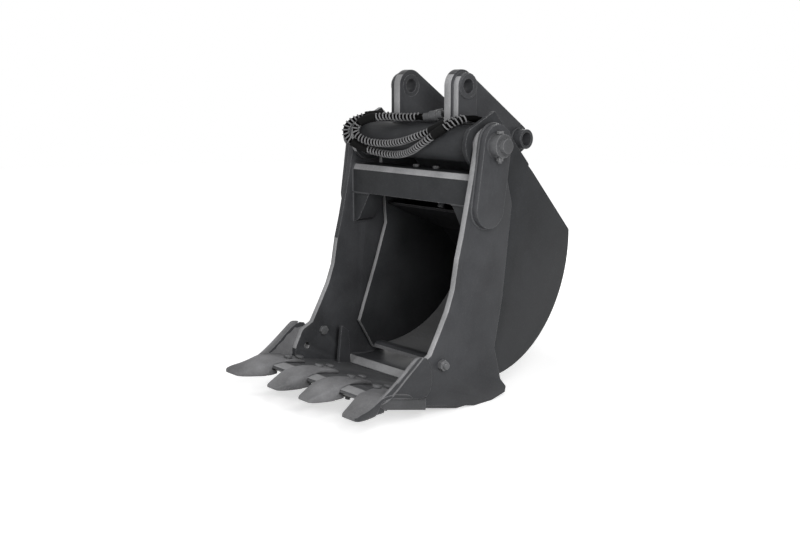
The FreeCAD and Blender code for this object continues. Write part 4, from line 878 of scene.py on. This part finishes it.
# %% Floor and world
def camera_white(material, tone, near, far):
    """Pale floor that the camera, mirrors and glass see lifted towards white, with its shadow kept."""
    material.use_nodes = True
    tree = material.node_tree
    tree.nodes.clear()
    diffuse = tree.nodes.new("ShaderNodeBsdfDiffuse")
    diffuse.inputs["Color"].default_value = (tone, tone, tone, 1.0)
    glow = tree.nodes.new("ShaderNodeEmission")
    glow.inputs["Color"].default_value = (1.0, 1.0, 1.0, 1.0)
    path = tree.nodes.new("ShaderNodeLightPath")
    seen = math_node(tree, "MAXIMUM", path.outputs["Is Camera Ray"], path.outputs["Is Glossy Ray"])
    seen = math_node(tree, "MAXIMUM", seen, path.outputs["Is Transmission Ray"])
    place = tree.nodes.new("ShaderNodeNewGeometry")
    distance = tree.nodes.new("ShaderNodeVectorMath")
    distance.operation = "LENGTH"
    tree.links.new(place.outputs["Position"], distance.inputs[0])
    lift = spread(tree, distance.outputs["Value"], near, far, 1.2, 2.6)
    tree.links.new(math_node(tree, "MULTIPLY", seen, lift), glow.inputs["Strength"])
    both = tree.nodes.new("ShaderNodeAddShader")
    tree.links.new(diffuse.outputs[0], both.inputs[0])
    tree.links.new(glow.outputs[0], both.inputs[1])
    output = tree.nodes.new("ShaderNodeOutputMaterial")
    tree.links.new(both.outputs[0], output.inputs["Surface"])


floor_height = cad_low.z
bpy.ops.mesh.primitive_circle_add(vertices=96, radius=9.0, fill_type="NGON",
                                  location=(0.0, 0.0, floor_height))
floor = bpy.context.object
floor.name = "floor"
floor_material = bpy.data.materials.new("pale_floor")
camera_white(floor_material, 0.80, 0.55, 1.0)
floor.data.materials.append(floor_material)

world = bpy.data.worlds.new("studio")
bpy.context.scene.world = world
world.use_nodes = True
tree = world.node_tree
tree.nodes.clear()
path = tree.nodes.new("ShaderNodeLightPath")
seen = math_node(tree, "MAXIMUM", path.outputs["Is Camera Ray"], path.outputs["Is Glossy Ray"])
seen = math_node(tree, "MAXIMUM", seen, path.outputs["Is Transmission Ray"])
strength = spread(tree, seen, 0.15, 1.0, 0.0, 1.0)
background = tree.nodes.new("ShaderNodeBackground")
background.inputs["Color"].default_value = (1.0, 1.0, 1.0, 1.0)
tree.links.new(strength, background.inputs["Strength"])
output = tree.nodes.new("ShaderNodeOutputWorld")
tree.links.new(background.outputs[0], output.inputs["Surface"])


# %% [markdown]
# Wide area lamps give the soft light of a studio. The strongest stands at the right front, so that the
# jaw's right side is palest, a weaker one fills the front, one lies low for the teeth, one hangs above
# for the ears and folds, a faint one lifts the left, and one behind keeps the back readable.

# %% Lamps
def lamp(name, place, aim, size, power):
    data = bpy.data.lights.new(name, "AREA")
    data.shape = "RECTANGLE"
    data.size, data.size_y = size
    data.energy = power
    light = bpy.data.objects.new(name, data)
    light.location = place
    light.rotation_euler = (Vector(aim) - Vector(place)).to_track_quat("-Z", "Y").to_euler()
    bpy.context.scene.collection.objects.link(light)
    return light


MIDDLE = (0.0, 0.0, -0.45)
lamp("right_front", (2.2, -1.3, 0.7), MIDDLE, (1.0, 1.4), 46.0)
lamp("front", (0.1, -3.2, 0.0), MIDDLE, (1.0, 0.8), 24.0)
lamp("right_low", (2.4, -0.9, -0.3), MIDDLE, (1.0, 1.0), 18.0)
lamp("overhead", (0.1, -0.9, 2.6), MIDDLE, (2.0, 1.6), 22.0)
lamp("left_high", (-1.9, -1.1, 1.3), MIDDLE, (2.0, 1.6), 6.0)
lamp("rear", (-1.4, 2.6, 0.9), MIDDLE, (1.6, 1.6), 30.0)

# %% [markdown]
# ## Camera
# The picture was taken from the right front, a little above the middle of the bucket, with a moderately
# long lens. The camera is set by its place, heading and drop, so that it can be read and changed.

# %% Camera
CAMERA_PLACE = (2.380, -2.319, 0.029)
HEADING = 47.6
DROP = 10.71
camera_data = bpy.data.cameras.new("camera")
camera_data.sensor_width = 36.0
camera_data.lens = 45.17
camera_data.clip_end = 100.0
camera = bpy.data.objects.new("camera", camera_data)
camera.location = CAMERA_PLACE
camera.rotation_euler = (math.radians(90.0 - DROP), 0.0, math.radians(HEADING))
bpy.context.scene.collection.objects.link(camera)
bpy.context.scene.camera = camera
bpy.context.scene.view_settings.view_transform = "Standard"
